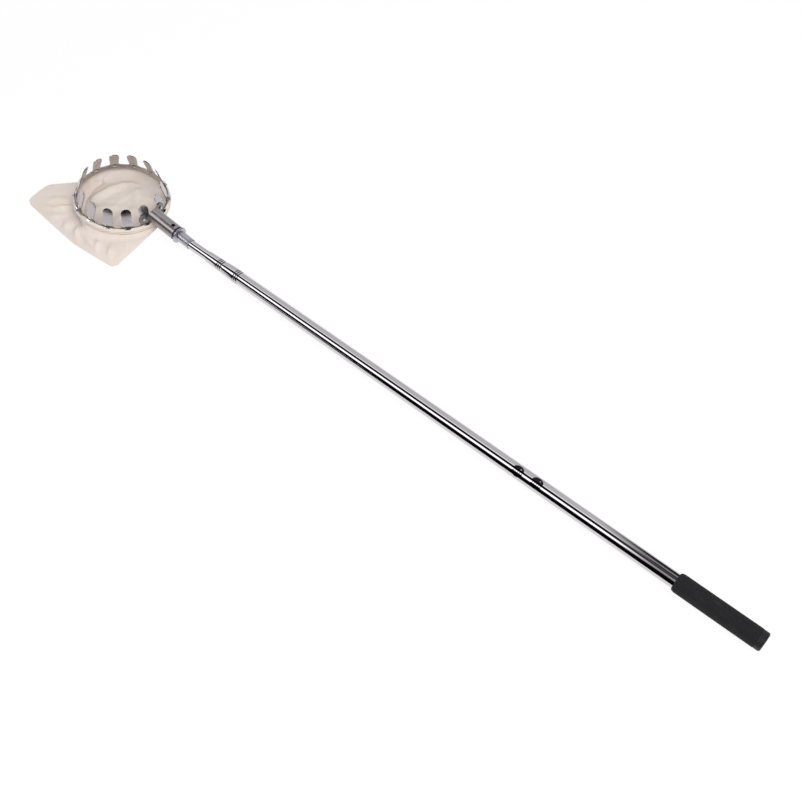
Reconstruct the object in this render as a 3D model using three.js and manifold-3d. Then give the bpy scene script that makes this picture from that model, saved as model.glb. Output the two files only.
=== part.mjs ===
// A telescopic fruit picker, laid on the ground: a ring of sheet-metal petals with a cotton bag,
// on a pole of three polished tubes that lock in each other with a twist. Millimetres, +Z up,
// +X along the pole from the ring to the grip.
import * as THREE from 'three';
import { mergeVertices } from 'three/addons/utils/BufferGeometryUtils.js';
import Module from 'manifold-3d';

const wasm = await Module();
wasm.setup();

// ---- driving dimensions -------------------------------------------------------------------

const GAP = 0.3; // air between faces that touch on the real picker
const SEGMENTS = 24; // facets around the tubes

// tubes: all x are along the pole, from the point where the head's axis meets the pole's
const TUBE_WALL = 0.6;
const TUBE_PLAY = 0.9; // between a tube and the wall of the one around it
const SLIDE_FIT = 0.2; // bush to tube, all round
const INNER_TUBE_R = 8;
const MID_MOUTH = 42;
const MID_SHOWS = 38; // of the middle tube, outside the outer one
const MAIN_TUBE_END = 1030;
const MOUTH_TAPER = 5; // over which the mouth closes in on the sliding tube
const BUSH_LENGTH = 24;
const GROOVE_FROM_MOUTH = 16; // first rolled groove
const GROOVE_PITCH = 4;
const GROOVE_DEPTH = 0.25;
const GROOVE_HALF = 1;
const GROOVES = 3;

// twist locks on the inner ends of the two sliding tubes
const LOCK_SEGMENTS = 16;
const LOCK_INSERT = 15;
const LOCK_SHOULDER = 2.5;
const LOCK_COLLET = 26;
const LOCK_CAP = 3;
const LOCK_SLOTS = 3;
const LOCK_SLOT_WIDTH = 1.6;
const LOCK_PIN_SHARE = 0.42; // pin radius to collet radius
const LOCK_ROOM = 2.6; // behind a lock, with the tubes pushed together

// grip
const GRIP_WALL = 3;
const GRIP_LENGTH = 119;
const GRIP_BEYOND = 1; // past the tube's end
const GRIP_NOSE = 4.5; // rounded front end
const GRIP_NOSE_DROP = 2.2;
const CAP_STEP = 0.3; // down from the grip's outside
const CAP_LENGTH = 10.5;
const CAP_ROUND = 2.6;
const CAP_SPIGOT = 20;

// head: its axis leaves the pole's with a small upward bend, and it lies turned on the ground
const HEAD_PITCH = 7; // degrees
const HEAD_ROLL = -5; // degrees
const BEND_R = 45;
const COLLAR_BARREL = 23;
const COLLAR_WALL = 1; // of the barrel, on the tube
const COLLAR_FLANGE = 13;
const COLLAR_FLANGE_R = 14;
const STUD_R = 6;
const STUD_REACH = 22; // in front of the flange
const STUD_SEAT = 6.5; // inside the flange
const WASHER = 1.2;
const WASHER_STEP = 0.5; // in from the sleeve's outside
const SLEEVE_R = 12.5;
const SLEEVE_WALL = 1.2;
const SLEEVE_LENGTH = 47.5;
const SEAM_WIDTH = 0.7;
const SEAM_SHARE = 0.7; // of the sleeve's length
const INSERT_LENGTH = 24;
const SCREW_HOLE_R = 2.8;
const SCREW_R = 2.5;
const SCREW_FROM_END = 7;
const SEAM_TURN = 27; // degrees from the top of the sleeve, towards -Y

// ring of petals, stamped from one strip
const RING_R = 73.5; // outside
const SHEET = 1.2;
const PETALS = 14;
const EAR_PETAL_ASIDE = 6.83; // middle of a petal beside the socket, from the sleeve's side
const SOCKET_TURN = 6.25; // degrees: the ring is riveted on a little askew
const RING_ASIDE = -1.8; // the ring's middle from the sleeve's axis
const BAND = 8; // strip below the gaps between the petals
const GAP_DEPTH = 4; // rise of the rounded gap bottom to the petal's side
const PETAL_BASE = 15; // width
const PETAL_WIDTH = 18; // width below the round tip
const PETAL_LENGTH = 34; // above the gap bottom
const PETAL_LEAN = 16; // degrees inward
const TIP_CURL = 12; // further degrees inward at the tip
const CURL_LENGTH = 12;
const LEAN_RUN = 6; // length over which the petal turns inward
const HOOK_WIDTH = 6.4;
const HOOK_TOP = 9; // above the strip's lower edge
const HOOK_DROP = 4;
const HOOK_HOLE_FOOT = 3.2; // hole that the hook was cut from, above the strip's lower edge

// ears of the sleeve on the petals beside it
const EAR_R = 8.6;
const EAR_HEIGHT = 10; // rivet above the gap bottom
const RIVET_ASIDE = -4; // rivet from the middle of its petal
const RIVET_R = 2;
const RIVET_HEAD_R = 3.6;
const RIVET_HEAD = 1.6;

// bag
const CLOTH = 1;
const WIRE_R = 1.15;
const HEM_ROOM = 0.3;
const HEM_HEIGHT = 6.3;
const HEM_TURNED_IN = 4; // cloth inside the wire
const POUCH = 3.6; // two layers of cloth with their folds, at the foot of the ring
const POUCH_EDGE = 1.6;
const BAG_FLOOR = 1.4; // lower layer of cloth, seen through the ring
const BAG_FOOT = 9; // how far the cloth stands out from the hem where it meets the ground
const BAG_OUTSIDE_RING = 3.5; // on the side where the bag lies under the ring
const BAG_SIDES = 50;
// rounded corners of the empty bag, from the middle of the ring
const BAG_CORNERS = [
  { x: -117, y: -86, round: 15 },
  { x: -111, y: -62, round: 21 },
  { x: 5, y: -96, round: 20.5 },
  { x: 89, y: -98, round: 11 },
];

// ---- what follows from them ---------------------------------------------------------------

const rad = THREE.MathUtils.degToRad;
const MID_TUBE_R = INNER_TUBE_R + TUBE_PLAY + TUBE_WALL;
const MAIN_TUBE_R = MID_TUBE_R + TUBE_PLAY + TUBE_WALL;
const MAIN_MOUTH = MID_MOUTH + MID_SHOWS;
const LOCK_REACH = LOCK_SHOULDER + LOCK_COLLET + LOCK_CAP + 3 * GAP;
const MID_TUBE_END = MAIN_TUBE_END - CAP_SPIGOT - LOCK_ROOM - LOCK_REACH;
const INNER_TUBE_END = MID_TUBE_END - LOCK_INSERT - LOCK_ROOM - LOCK_REACH;
const GRIP_R = MAIN_TUBE_R + GRIP_WALL;
const GRIP_END = MAIN_TUBE_END + GRIP_BEYOND;
const GRIP_START = GRIP_END - GRIP_LENGTH;
const CAP_R = GRIP_R - CAP_STEP;
const COLLAR_BARREL_R = INNER_TUBE_R + COLLAR_WALL;
const WASHER_R = SLEEVE_R - WASHER_STEP;
const SOCKET_PITCH = 2 * Math.asin((SLEEVE_R + EAR_PETAL_ASIDE) / RING_R);
const PETAL_PITCH = (2 * Math.PI - SOCKET_PITCH) / (PETALS - 1);
const BEND_RUN = BEND_R * Math.tan(rad(HEAD_PITCH) / 2);
const COLLAR_REAR = -BEND_RUN - GAP;
const FLANGE_REAR = COLLAR_REAR - COLLAR_BARREL;
const FLANGE_FRONT = FLANGE_REAR - COLLAR_FLANGE;
const TUBE_TIP = FLANGE_FRONT + STUD_SEAT + GAP;
const WASHER_REAR = FLANGE_FRONT - GAP;
const SLEEVE_REAR = WASHER_REAR - WASHER - GAP;
const RING_X = SLEEVE_REAR - SLEEVE_LENGTH - RING_R - GAP;
const GAP_BOTTOM_Z = -SLEEVE_R - GAP; // the sleeve passes just over the band
const BAND_FOOT_Z = GAP_BOTTOM_Z - BAND;
const HEM_TOP_Z = BAND_FOOT_Z + HOOK_TOP - SHEET - GAP;
const HEM_FOOT_Z = HEM_TOP_Z - HEM_HEIGHT;
const HEM_IN_R = RING_R + GAP;
const WIRE_RING_R = HEM_IN_R + CLOTH + HEM_ROOM + WIRE_R;
const HEM_OUT_R = WIRE_RING_R + WIRE_R + HEM_ROOM + CLOTH;
const EAR_U = BAND + EAR_HEIGHT; // up the strip from its lower edge

// ---- shared shape tools -------------------------------------------------------------------

// turns the faces outward if the closed surface came out inside-out
function outward(geometry) {
  const position = geometry.getAttribute('position');
  const index = geometry.index.array;
  const a = new THREE.Vector3();
  const b = new THREE.Vector3();
  const c = new THREE.Vector3();
  let volume = 0;
  for (let i = 0; i < index.length; i += 3) {
    a.fromBufferAttribute(position, index[i]);
    b.fromBufferAttribute(position, index[i + 1]);
    c.fromBufferAttribute(position, index[i + 2]);
    volume += a.dot(b.cross(c));
  }
  if (volume < 0) {
    for (let i = 0; i < index.length; i += 3) {
      [index[i + 1], index[i + 2]] = [index[i + 2], index[i + 1]];
    }
  }
  return geometry;
}

// one closed skin with shared corners
function welded(geometry) {
  const plain = geometry.clone();
  plain.deleteAttribute('normal');
  plain.deleteAttribute('uv');
  return outward(mergeVertices(plain, 1e-4));
}

function solid(geometry) {
  const skin = welded(geometry);
  return new wasm.Manifold(
    new wasm.Mesh({
      numProp: 3,
      vertProperties: new Float32Array(skin.getAttribute('position').array),
      triVerts: new Uint32Array(skin.index.array),
    }),
  );
}

function surfaceOf(manifold) {
  const mesh = manifold.getMesh();
  const geometry = new THREE.BufferGeometry();
  geometry.setAttribute('position', new THREE.BufferAttribute(mesh.vertProperties, 3));
  geometry.setIndex(new THREE.BufferAttribute(mesh.triVerts, 1));
  geometry.computeVertexNormals();
  return geometry;
}

// revolves [x, radius] pairs about the X axis
function turned(profile, segments = SEGMENTS) {
  const points = profile.map(([x, r]) => new THREE.Vector2(r, x));
  const geometry = new THREE.LatheGeometry(points, segments);
  geometry.rotateZ(-Math.PI / 2);
  return welded(geometry);
}

// a turned piece with a bore: the outer profile runs along x, and the bore's profile back
function bored(outer, inner, segments = SEGMENTS) {
  return turned([...outer, ...inner.slice().reverse(), outer[0]], segments);
}

// a closed surface from loops of points that all have one count: a fan closes each end, or the
// last loop joins the first
function lofted(loops, round = false) {
  const count = loops[0].length;
  const positions = [];
  const index = [];
  for (const loop of loops) {
    for (const point of loop) positions.push(point.x, point.y, point.z);
  }
  for (let k = 0; k < loops.length - (round ? 0 : 1); k += 1) {
    const next = ((k + 1) % loops.length) * count;
    for (let i = 0; i < count; i += 1) {
      const j = (i + 1) % count;
      index.push(k * count + i, k * count + j, next + j);
      index.push(k * count + i, next + j, next + i);
    }
  }
  for (const end of round ? [] : [0, loops.length - 1]) {
    const hub = positions.length / 3;
    const centre = new THREE.Vector3();
    for (const point of loops[end]) centre.addScaledVector(point, 1 / count);
    positions.push(centre.x, centre.y, centre.z);
    for (let i = 0; i < count; i += 1) {
      const a = end * count + i;
      const b = end * count + ((i + 1) % count);
      if (end) index.push(hub, a, b);
      else index.push(hub, b, a);
    }
  }
  const geometry = new THREE.BufferGeometry();
  geometry.setAttribute('position', new THREE.Float32BufferAttribute(positions, 3));
  geometry.setIndex(index);
  return outward(geometry);
}

// sheet metal: flat cells, each a list of corner keys, become a plate between an outer and an
// inner face, closed by a wall along every edge that only one cell has
function plate(corners, cells) {
  const keys = [...corners.keys()];
  const place = new Map(keys.map((key, i) => [key, i]));
  const positions = [];
  for (const side of [0, 1]) {
    for (const key of keys) positions.push(...corners.get(key)[side].toArray());
  }
  const depth = keys.length;
  const edges = new Map();
  const index = [];
  for (const cell of cells) {
    const at = cell.map((key) => place.get(key));
    for (let i = 1; i + 1 < at.length; i += 1) {
      index.push(at[0], at[i], at[i + 1]);
      index.push(at[0] + depth, at[i + 1] + depth, at[i] + depth);
    }
    for (let i = 0; i < at.length; i += 1) {
      const a = at[i];
      const b = at[(i + 1) % at.length];
      if (edges.has(`${b}>${a}`)) edges.delete(`${b}>${a}`);
      else edges.set(`${a}>${b}`, [a, b]);
    }
  }
  for (const [a, b] of edges.values()) {
    index.push(b, a, a + depth, b, a + depth, b + depth);
  }
  const geometry = new THREE.BufferGeometry();
  geometry.setAttribute('position', new THREE.Float32BufferAttribute(positions, 3));
  geometry.setIndex(index);
  return outward(geometry);
}

function material(color, roughness, metalness) {
  return new THREE.MeshStandardMaterial({ color, roughness, metalness });
}

function piece(name, geometry, finish) {
  const mesh = new THREE.Mesh(geometry, finish);
  mesh.name = name;
  return mesh;
}

const FINISH = {
  polished: () => material(0xc9c9cc, 0.16, 1),
  stamped: () => material(0xb9b4b2, 0.28, 1),
  zinc: () => material(0xc3c9d2, 0.38, 0.9),
  steel: () => material(0x9a9c9f, 0.4, 1),
  cotton: () => material(0xe6dccb, 0.95, 0),
  rubber: () => material(0x262628, 0.85, 0),
  black: () => material(0x17181a, 0.6, 0),
  nylon: () => material(0xe8e6df, 0.5, 0),
};

// ---- the pole -----------------------------------------------------------------------------

// rolled grooves near a tube's mouth, as [x, radius] pairs on a wall of radius r
function groovedWall(mouth, r) {
  const points = [];
  for (let k = 0; k < GROOVES; k += 1) {
    const x = mouth + GROOVE_FROM_MOUTH + k * GROOVE_PITCH;
    points.push([x - GROOVE_HALF, r], [x, r - GROOVE_DEPTH], [x + GROOVE_HALF, r]);
  }
  return points;
}

// a wall's profile: drawn in at the mouth, then grooved
function outerWall(mouth, end, r) {
  const drawnIn = r - TUBE_PLAY + GAP;
  return [[mouth, drawnIn], [mouth + MOUTH_TAPER, r], ...groovedWall(mouth, r), [end, r]];
}

function outerTube(name, mouth, end, r) {
  const outer = outerWall(mouth, end, r);
  const inner = outerWall(mouth, end, r - TUBE_WALL);
  return piece(name, bored(outer, inner), FINISH.polished());
}

// nylon bush that the rolled grooves hold in a tube's mouth
function mouthBush(name, mouth, tubeR, slidingR) {
  const outside = tubeR - TUBE_WALL - SLIDE_FIT;
  const bore = slidingR + SLIDE_FIT;
  const start = mouth + MOUTH_TAPER;
  const end = start + BUSH_LENGTH;
  const outer = [[start, outside], ...groovedWall(mouth, outside), [end, outside]];
  return piece(name, bored(outer, [[start, bore], [end, bore]]), FINISH.nylon());
}

// plug in a tube's inner end, with the pin and end cap that carry the lock's collet
function lockPlug(name, tubeEnd, tubeR, colletR) {
  const insert = tubeR - TUBE_WALL - GAP;
  const pin = colletR * LOCK_PIN_SHARE;
  const shoulder = tubeEnd + GAP + LOCK_SHOULDER;
  const capStart = shoulder + LOCK_COLLET + 2 * GAP;
  const profile = [
    [tubeEnd - LOCK_INSERT, 0],
    [tubeEnd - LOCK_INSERT, insert - 1],
    [tubeEnd - LOCK_INSERT + 1, insert],
    [tubeEnd + GAP, insert],
    [tubeEnd + GAP, tubeR - 0.3],
    [shoulder, tubeR - 0.3],
    [shoulder, pin],
    [capStart, pin],
    [capStart, colletR * 0.8],
    [capStart + LOCK_CAP, colletR * 0.7],
    [capStart + LOCK_CAP, 0],
  ];
  return piece(name, turned(profile, LOCK_SEGMENTS), FINISH.steel());
}

// split collet that the twist opens against the wall of the tube around it
function lockCollet(name, tubeEnd, colletR) {
  const start = tubeEnd + LOCK_SHOULDER + 2 * GAP;
  const end = start + LOCK_COLLET;
  const bore = colletR * LOCK_PIN_SHARE + GAP;
  const outer = [
    [start, colletR - 1],
    [start + 1.5, colletR],
    [end - 1.5, colletR],
    [end, colletR - 1],
  ];
  const inner = [[start, bore], [end - 6, bore], [end, bore + 1]];
  let body = solid(bored(outer, inner, LOCK_SEGMENTS));
  for (let k = 0; k < LOCK_SLOTS; k += 1) {
    const slot = new THREE.BoxGeometry(LOCK_COLLET, LOCK_SLOT_WIDTH, 2 * colletR);
    slot.translate(start + LOCK_COLLET / 2 + 6, 0, colletR);
    slot.rotateX((2 * Math.PI * k) / LOCK_SLOTS);
    body = body.subtract(solid(slot));
  }
  return piece(name, surfaceOf(body), FINISH.nylon());
}

// innermost tube: straight through the pole, then bent up to the head's axis
function innerTube() {
  const bend = rad(HEAD_PITCH);
  const axis = new THREE.Vector3(0, 1, 0);
  const at = (x, turn) => new THREE.Vector3(x, 0, 0).applyAxisAngle(axis, turn);
  const arcMiddle = at(BEND_RUN, 0).add(at(-BEND_RUN, bend)).multiplyScalar(0.25);
  const stations = [
    { at: at(INNER_TUBE_END, 0), turn: 0 },
    { at: at(BEND_RUN, 0), turn: 0 },
    { at: arcMiddle, turn: bend / 2 },
    { at: at(-BEND_RUN, bend), turn: bend },
    { at: at(TUBE_TIP, bend), turn: bend },
  ];
  const circle = (station, r) => {
    const up = new THREE.Vector3(0, 0, 1).applyAxisAngle(axis, station.turn);
    const points = [];
    for (let i = 0; i < SEGMENTS; i += 1) {
      const angle = (2 * Math.PI * i) / SEGMENTS;
      const point = station.at.clone().addScaledVector(up, r * Math.cos(angle));
      points.push(point.addScaledVector(axis, r * Math.sin(angle)));
    }
    return points;
  };
  const outside = stations.map((station) => circle(station, INNER_TUBE_R));
  const bore = stations.map((station) => circle(station, INNER_TUBE_R - TUBE_WALL)).reverse();
  return piece('inner_tube', lofted([...outside, ...bore], true), FINISH.polished());
}

function gripSleeve() {
  const bore = MAIN_TUBE_R + GAP;
  const outer = [
    [GRIP_START, GRIP_R - GRIP_NOSE_DROP],
    [GRIP_START + GRIP_NOSE / 4, GRIP_R - GRIP_NOSE_DROP / 2],
    [GRIP_START + GRIP_NOSE, GRIP_R],
    [GRIP_END - 0.6, GRIP_R],
    [GRIP_END, GRIP_R - 0.6],
  ];
  return piece('grip_sleeve', bored(outer, [[GRIP_START, bore], [GRIP_END, bore]]), FINISH.rubber());
}

function gripEndCap() {
  const start = GRIP_END + GAP;
  const end = start + CAP_LENGTH;
  const spigot = MAIN_TUBE_R - TUBE_WALL - GAP;
  const hollow = spigot - 2.4;
  const profile = [
    [end, 0],
    [start, 0],
    [start, hollow],
    [start - CAP_SPIGOT, hollow],
    [start - CAP_SPIGOT, spigot - 0.8],
    [start - CAP_SPIGOT + 1.5, spigot],
    [start, spigot],
    [start, CAP_R - 0.6],
    [start + 0.6, CAP_R],
  ];
  for (let k = 0; k <= 4; k += 1) {
    const turn = (Math.PI / 2) * (k / 4);
    const x = end - CAP_ROUND + CAP_ROUND * Math.sin(turn);
    profile.push([x, CAP_R - CAP_ROUND + CAP_ROUND * Math.cos(turn)]);
  }
  profile.push([end, 0]);
  return piece('grip_end_cap', turned(profile), FINISH.black());
}

// ---- the collar and its stud, on the bent end of the inner tube ---------------------------

function lockCollar() {
  const tubeBore = INNER_TUBE_R + GAP;
  const studBore = STUD_R + GAP;
  const step = FLANGE_FRONT + STUD_SEAT;
  const outer = [
    [FLANGE_FRONT, COLLAR_FLANGE_R - 1.6],
    [FLANGE_FRONT + 0.8, COLLAR_FLANGE_R - 0.8],
    [FLANGE_FRONT + 6, COLLAR_FLANGE_R],
    [FLANGE_REAR - 3, COLLAR_FLANGE_R],
    [FLANGE_REAR - 1, COLLAR_FLANGE_R - 1.4],
    [FLANGE_REAR, COLLAR_BARREL_R + 0.8],
    [FLANGE_REAR + 1, COLLAR_BARREL_R],
    [COLLAR_REAR - 0.4, COLLAR_BARREL_R - 0.1],
    [COLLAR_REAR, COLLAR_BARREL_R - 0.3],
  ];
  const inner = [
    [FLANGE_FRONT, studBore],
    [step, studBore],
    [step, tubeBore],
    [COLLAR_REAR, tubeBore],
  ];
  return piece('lock_collar', bored(outer, inner), FINISH.zinc());
}

// stud of the collar, which the head screws on to
function threadedStud() {
  const rear = FLANGE_FRONT + STUD_SEAT - GAP;
  const front = FLANGE_FRONT - STUD_REACH;
  const profile = [
    [rear, 0],
    [rear, STUD_R - 0.5],
    [rear - 0.5, STUD_R],
    [front + 1, STUD_R],
    [front, STUD_R - 1],
    [front, 0],
  ];
  return piece('threaded_stud', turned(profile), FINISH.steel());
}

function headWasher() {
  const front = WASHER_REAR - WASHER;
  const bore = STUD_R + GAP;
  const outer = [[front, WASHER_R], [WASHER_REAR, WASHER_R]];
  return piece('head_washer', bored(outer, [[front, bore], [WASHER_REAR, bore]]), FINISH.steel());
}

// ---- the head's socket --------------------------------------------------------------------

const SCREW_X = SLEEVE_REAR - SCREW_FROM_END;

function radialHole(r, x) {
  const hole = new THREE.CylinderGeometry(r, r, 2 * SLEEVE_R, 20);
  hole.rotateX(Math.PI / 2);
  hole.translate(x, 0, SLEEVE_R);
  return solid(hole);
}

// nut pressed in the sleeve's rear end
function socketInsert() {
  const front = SLEEVE_REAR - INSERT_LENGTH;
  const outside = SLEEVE_R - SLEEVE_WALL - GAP;
  const bore = STUD_R + GAP;
  const outer = [
    [front, outside - 1],
    [front + 1, outside],
    [SLEEVE_REAR, outside],
  ];
  const body = solid(bored(outer, [[front, bore], [SLEEVE_REAR, bore]]));
  const hole = radialHole(SCREW_R + GAP, SCREW_X);
  return piece('socket_insert', surfaceOf(body.subtract(hole)), FINISH.steel());
}

// grub screw that keeps the head from unscrewing
function socketSetScrew() {
  const foot = STUD_R + GAP;
  const top = SLEEVE_R - SLEEVE_WALL - GAP - 0.6;
  const body = new THREE.CylinderGeometry(SCREW_R, SCREW_R, top - foot, 20);
  body.rotateX(Math.PI / 2);
  body.translate(0, 0, (top + foot) / 2);
  const key = new THREE.CylinderGeometry(SCREW_R / 2, SCREW_R / 2, 4, 6);
  key.rotateX(Math.PI / 2);
  key.translate(0, 0, top);
  const mesh = piece('socket_set_screw', surfaceOf(solid(body).subtract(solid(key))), FINISH.steel());
  mesh.position.x = SCREW_X;
  return mesh;
}

// ---- the ring's strip: heights u run up the strip from its lower edge ----------------------

function leanAt(u) {
  const tip = BAND + PETAL_LENGTH;
  const lean = THREE.MathUtils.clamp((u - BAND) / LEAN_RUN, 0, 1) * PETAL_LEAN;
  const curl = THREE.MathUtils.clamp((u - tip + CURL_LENGTH) / CURL_LENGTH, 0, 1) * TIP_CURL;
  return rad(lean + curl);
}

// radius and height of the strip's outer face at u, in the ring's frame
function outerFace(u) {
  const steps = 60;
  let r = RING_R;
  let z = BAND_FOOT_Z;
  for (let i = 0; i < steps; i += 1) {
    const lean = leanAt((u * (i + 0.5)) / steps);
    r -= (Math.sin(lean) * u) / steps;
    z += (Math.cos(lean) * u) / steps;
  }
  return { r, z };
}

// a point off the strip's outer face: w across from the middle angle, out along the face's normal
function onStrip(middle, w, u, out) {
  const face = outerFace(u);
  const lean = leanAt(u);
  const angle = middle + w / face.r;
  const r = face.r + out * Math.cos(lean);
  const z = face.z + out * Math.sin(lean);
  return new THREE.Vector3(r * Math.cos(angle), r * Math.sin(angle), z);
}

function halfWidthAt(u) {
  const tipR = PETAL_WIDTH / 2;
  const shoulder = BAND + PETAL_LENGTH - tipR;
  if (u > shoulder) return Math.sqrt(Math.max(0, tipR ** 2 - (u - shoulder) ** 2));
  const t = THREE.MathUtils.clamp((u - BAND - GAP_DEPTH) / (shoulder - BAND - GAP_DEPTH), 0, 1);
  return (PETAL_BASE + t * (PETAL_WIDTH - PETAL_BASE)) / 2;
}

// one hook in the ring's frame, on the petal at angle 0
function hook() {
  const inside = HEM_OUT_R + GAP;
  const top = BAND_FOOT_Z + HOOK_TOP;
  const arm = new THREE.BoxGeometry(inside + SHEET - RING_R + SHEET / 2, HOOK_WIDTH, SHEET);
  arm.translate((inside + SHEET + RING_R - SHEET / 2) / 2, 0, top - SHEET / 2);
  const drop = new THREE.BoxGeometry(SHEET, HOOK_WIDTH, SHEET + HOOK_DROP);
  drop.translate(inside + SHEET / 2, 0, top - (SHEET + HOOK_DROP) / 2);
  return solid(arm).add(solid(drop));
}

// middle angle of the petal beside the socket, on its +Y or -Y side
function earAngle(side) {
  return rad(SOCKET_TURN) + (side * SOCKET_PITCH) / 2;
}

// frame with its +X out along the petal's normal, at the rivet
function rivetPlace(side) {
  const angle = earAngle(side) + RIVET_ASIDE / outerFace(EAR_U).r;
  const place = new THREE.Matrix4().makeRotationZ(angle);
  place.multiply(new THREE.Matrix4().makeRotationY(-leanAt(EAR_U)));
  return place.setPosition(onStrip(angle, 0, EAR_U, 0));
}

function rivetHole(side) {
  const hole = new THREE.CylinderGeometry(RIVET_R + GAP, RIVET_R + GAP, 12, 16);
  hole.rotateZ(-Math.PI / 2);
  hole.applyMatrix4(rivetPlace(side));
  return solid(hole);
}

function pickingRing() {
  const tip = BAND + PETAL_LENGTH;
  const holeTop = HOOK_TOP - SHEET / 2;
  const shoulder = tip - PETAL_WIDTH / 2;
  const rows = [0, HOOK_HOLE_FOOT, holeTop, BAND + GAP_DEPTH, 16, 25, shoulder];
  rows.push(shoulder + 3.5, shoulder + 7, tip - 0.2);
  const hookEdge = HOOK_WIDTH / PETAL_BASE;
  const columns = [-1, -hookEdge, 0, hookEdge, 1];
  const gapColumns = [-1, -0.83, -0.4, 0.4, 0.83, 1];
  const corners = new Map();
  const cells = [];
  const set = (key, middle, w, u) => {
    corners.set(key, [onStrip(middle, w, u, 0), onStrip(middle, w, u, -SHEET)]);
  };
  const petalKey = (k, c, row) => `petal${k % PETALS},${c},${row}`;
  const gapKey = (k, g, row) => {
    if (g === 0) return petalKey(k, columns.length - 1, row);
    if (g === gapColumns.length - 1) return petalKey(k + 1, 0, row);
    return `gap${k},${g},${row}`;
  };
  for (let k = 0; k < PETALS; k += 1) {
    const middle = earAngle(1) + k * PETAL_PITCH;
    const pitch = k + 1 < PETALS ? PETAL_PITCH : SOCKET_PITCH;
    const gapReach = (pitch * RING_R - PETAL_BASE) / 2;
    rows.forEach((u, row) => {
      columns.forEach((share, c) => set(petalKey(k, c, row), middle, share * halfWidthAt(u), u));
    });
    for (let row = 0; row + 1 < rows.length; row += 1) {
      for (let c = 0; c + 1 < columns.length; c += 1) {
        const open = row === 1 && (c === 1 || c === 2);
        const key = (dc, dr) => petalKey(k, c + dc, row + dr);
        if (!open) cells.push([key(0, 0), key(1, 0), key(1, 1), key(0, 1)]);
      }
    }
    for (let g = 1; g + 1 < gapColumns.length; g += 1) {
      const q = gapColumns[g];
      const w = q * gapReach;
      const top = BAND + GAP_DEPTH * (1 - Math.sqrt(1 - q * q));
      set(gapKey(k, g, 0), middle + pitch / 2, w, 0);
      set(gapKey(k, g, 3), middle + pitch / 2, w, top);
    }
    for (let g = 0; g + 1 < gapColumns.length; g += 1) {
      const foot = [gapKey(k, g, 0), gapKey(k, g + 1, 0)];
      const head = [gapKey(k, g + 1, 3), gapKey(k, g, 3)];
      if (g === 0) {
        cells.push([foot[1], ...head, gapKey(k, g, 2), gapKey(k, g, 1), foot[0]]);
      } else if (g + 2 === gapColumns.length) {
        cells.push([...foot, gapKey(k, g + 1, 1), gapKey(k, g + 1, 2), ...head]);
      } else {
        cells.push([...foot, ...head]);
      }
    }
  }
  let body = solid(plate(corners, cells));
  for (let k = 0; k < PETALS; k += 1) {
    const turn = THREE.MathUtils.radToDeg(earAngle(1) + k * PETAL_PITCH);
    body = body.add(hook().rotate([0, 0, turn]));
  }
  for (const side of [-1, 1]) body = body.subtract(rivetHole(side));
  return piece('picking_ring', surfaceOf(body), FINISH.stamped());
}

// everything that the ring's outer face encloses, GAP further out
function ringEnvelope() {
  const tip = BAND + PETAL_LENGTH;
  const points = [new THREE.Vector2(0, BAND_FOOT_Z)];
  for (const u of [0, BAND, BAND + 2, BAND + 4, BAND + LEAN_RUN, tip - CURL_LENGTH, tip - 6, tip]) {
    const face = outerFace(u);
    points.push(new THREE.Vector2(face.r + GAP / Math.cos(leanAt(u)), face.z));
  }
  points.push(new THREE.Vector2(0, points.at(-1).y));
  const geometry = new THREE.LatheGeometry(points, 112);
  geometry.rotateX(Math.PI / 2);
  return geometry;
}

// flap of the sleeve's sheet on the outer face of the petal beside it
function ear(side) {
  const corners = new Map();
  const cells = [];
  const petalY = outerFace(EAR_U).r * Math.sin(earAngle(side)) + RING_ASIDE;
  const reach = Math.abs(petalY) / Math.cos(earAngle(side)) - 4;
  for (let k = 0; k <= 10; k += 1) {
    const turn = Math.PI * (k / 10 - 0.5);
    const u = EAR_U + EAR_R * Math.sin(turn);
    [-reach, -reach / 2, 0, EAR_R * Math.cos(turn)].forEach((away, c) => {
      const w = side * away + (c > 1 ? RIVET_ASIDE : 0);
      const faces = [GAP + SHEET, GAP].map((out) => onStrip(earAngle(side), w, u, out));
      corners.set(`${k},${c}`, faces);
    });
    if (k === 0) continue;
    cells.push([`${k - 1},0`, `${k - 1},1`, `${k},1`, `${k},0`]);
    cells.push([`${k - 1},1`, `${k - 1},2`, `${k},2`, `${k},1`]);
    if (k === 1) cells.push([`${k - 1},2`, `${k},3`, `${k},2`]);
    else if (k === 10) cells.push([`${k - 1},2`, `${k - 1},3`, `${k},2`]);
    else cells.push([`${k - 1},2`, `${k - 1},3`, `${k},3`, `${k},2`]);
  }
  corners.delete('0,3');
  corners.delete('10,3');
  return solid(plate(corners, cells));
}

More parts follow.
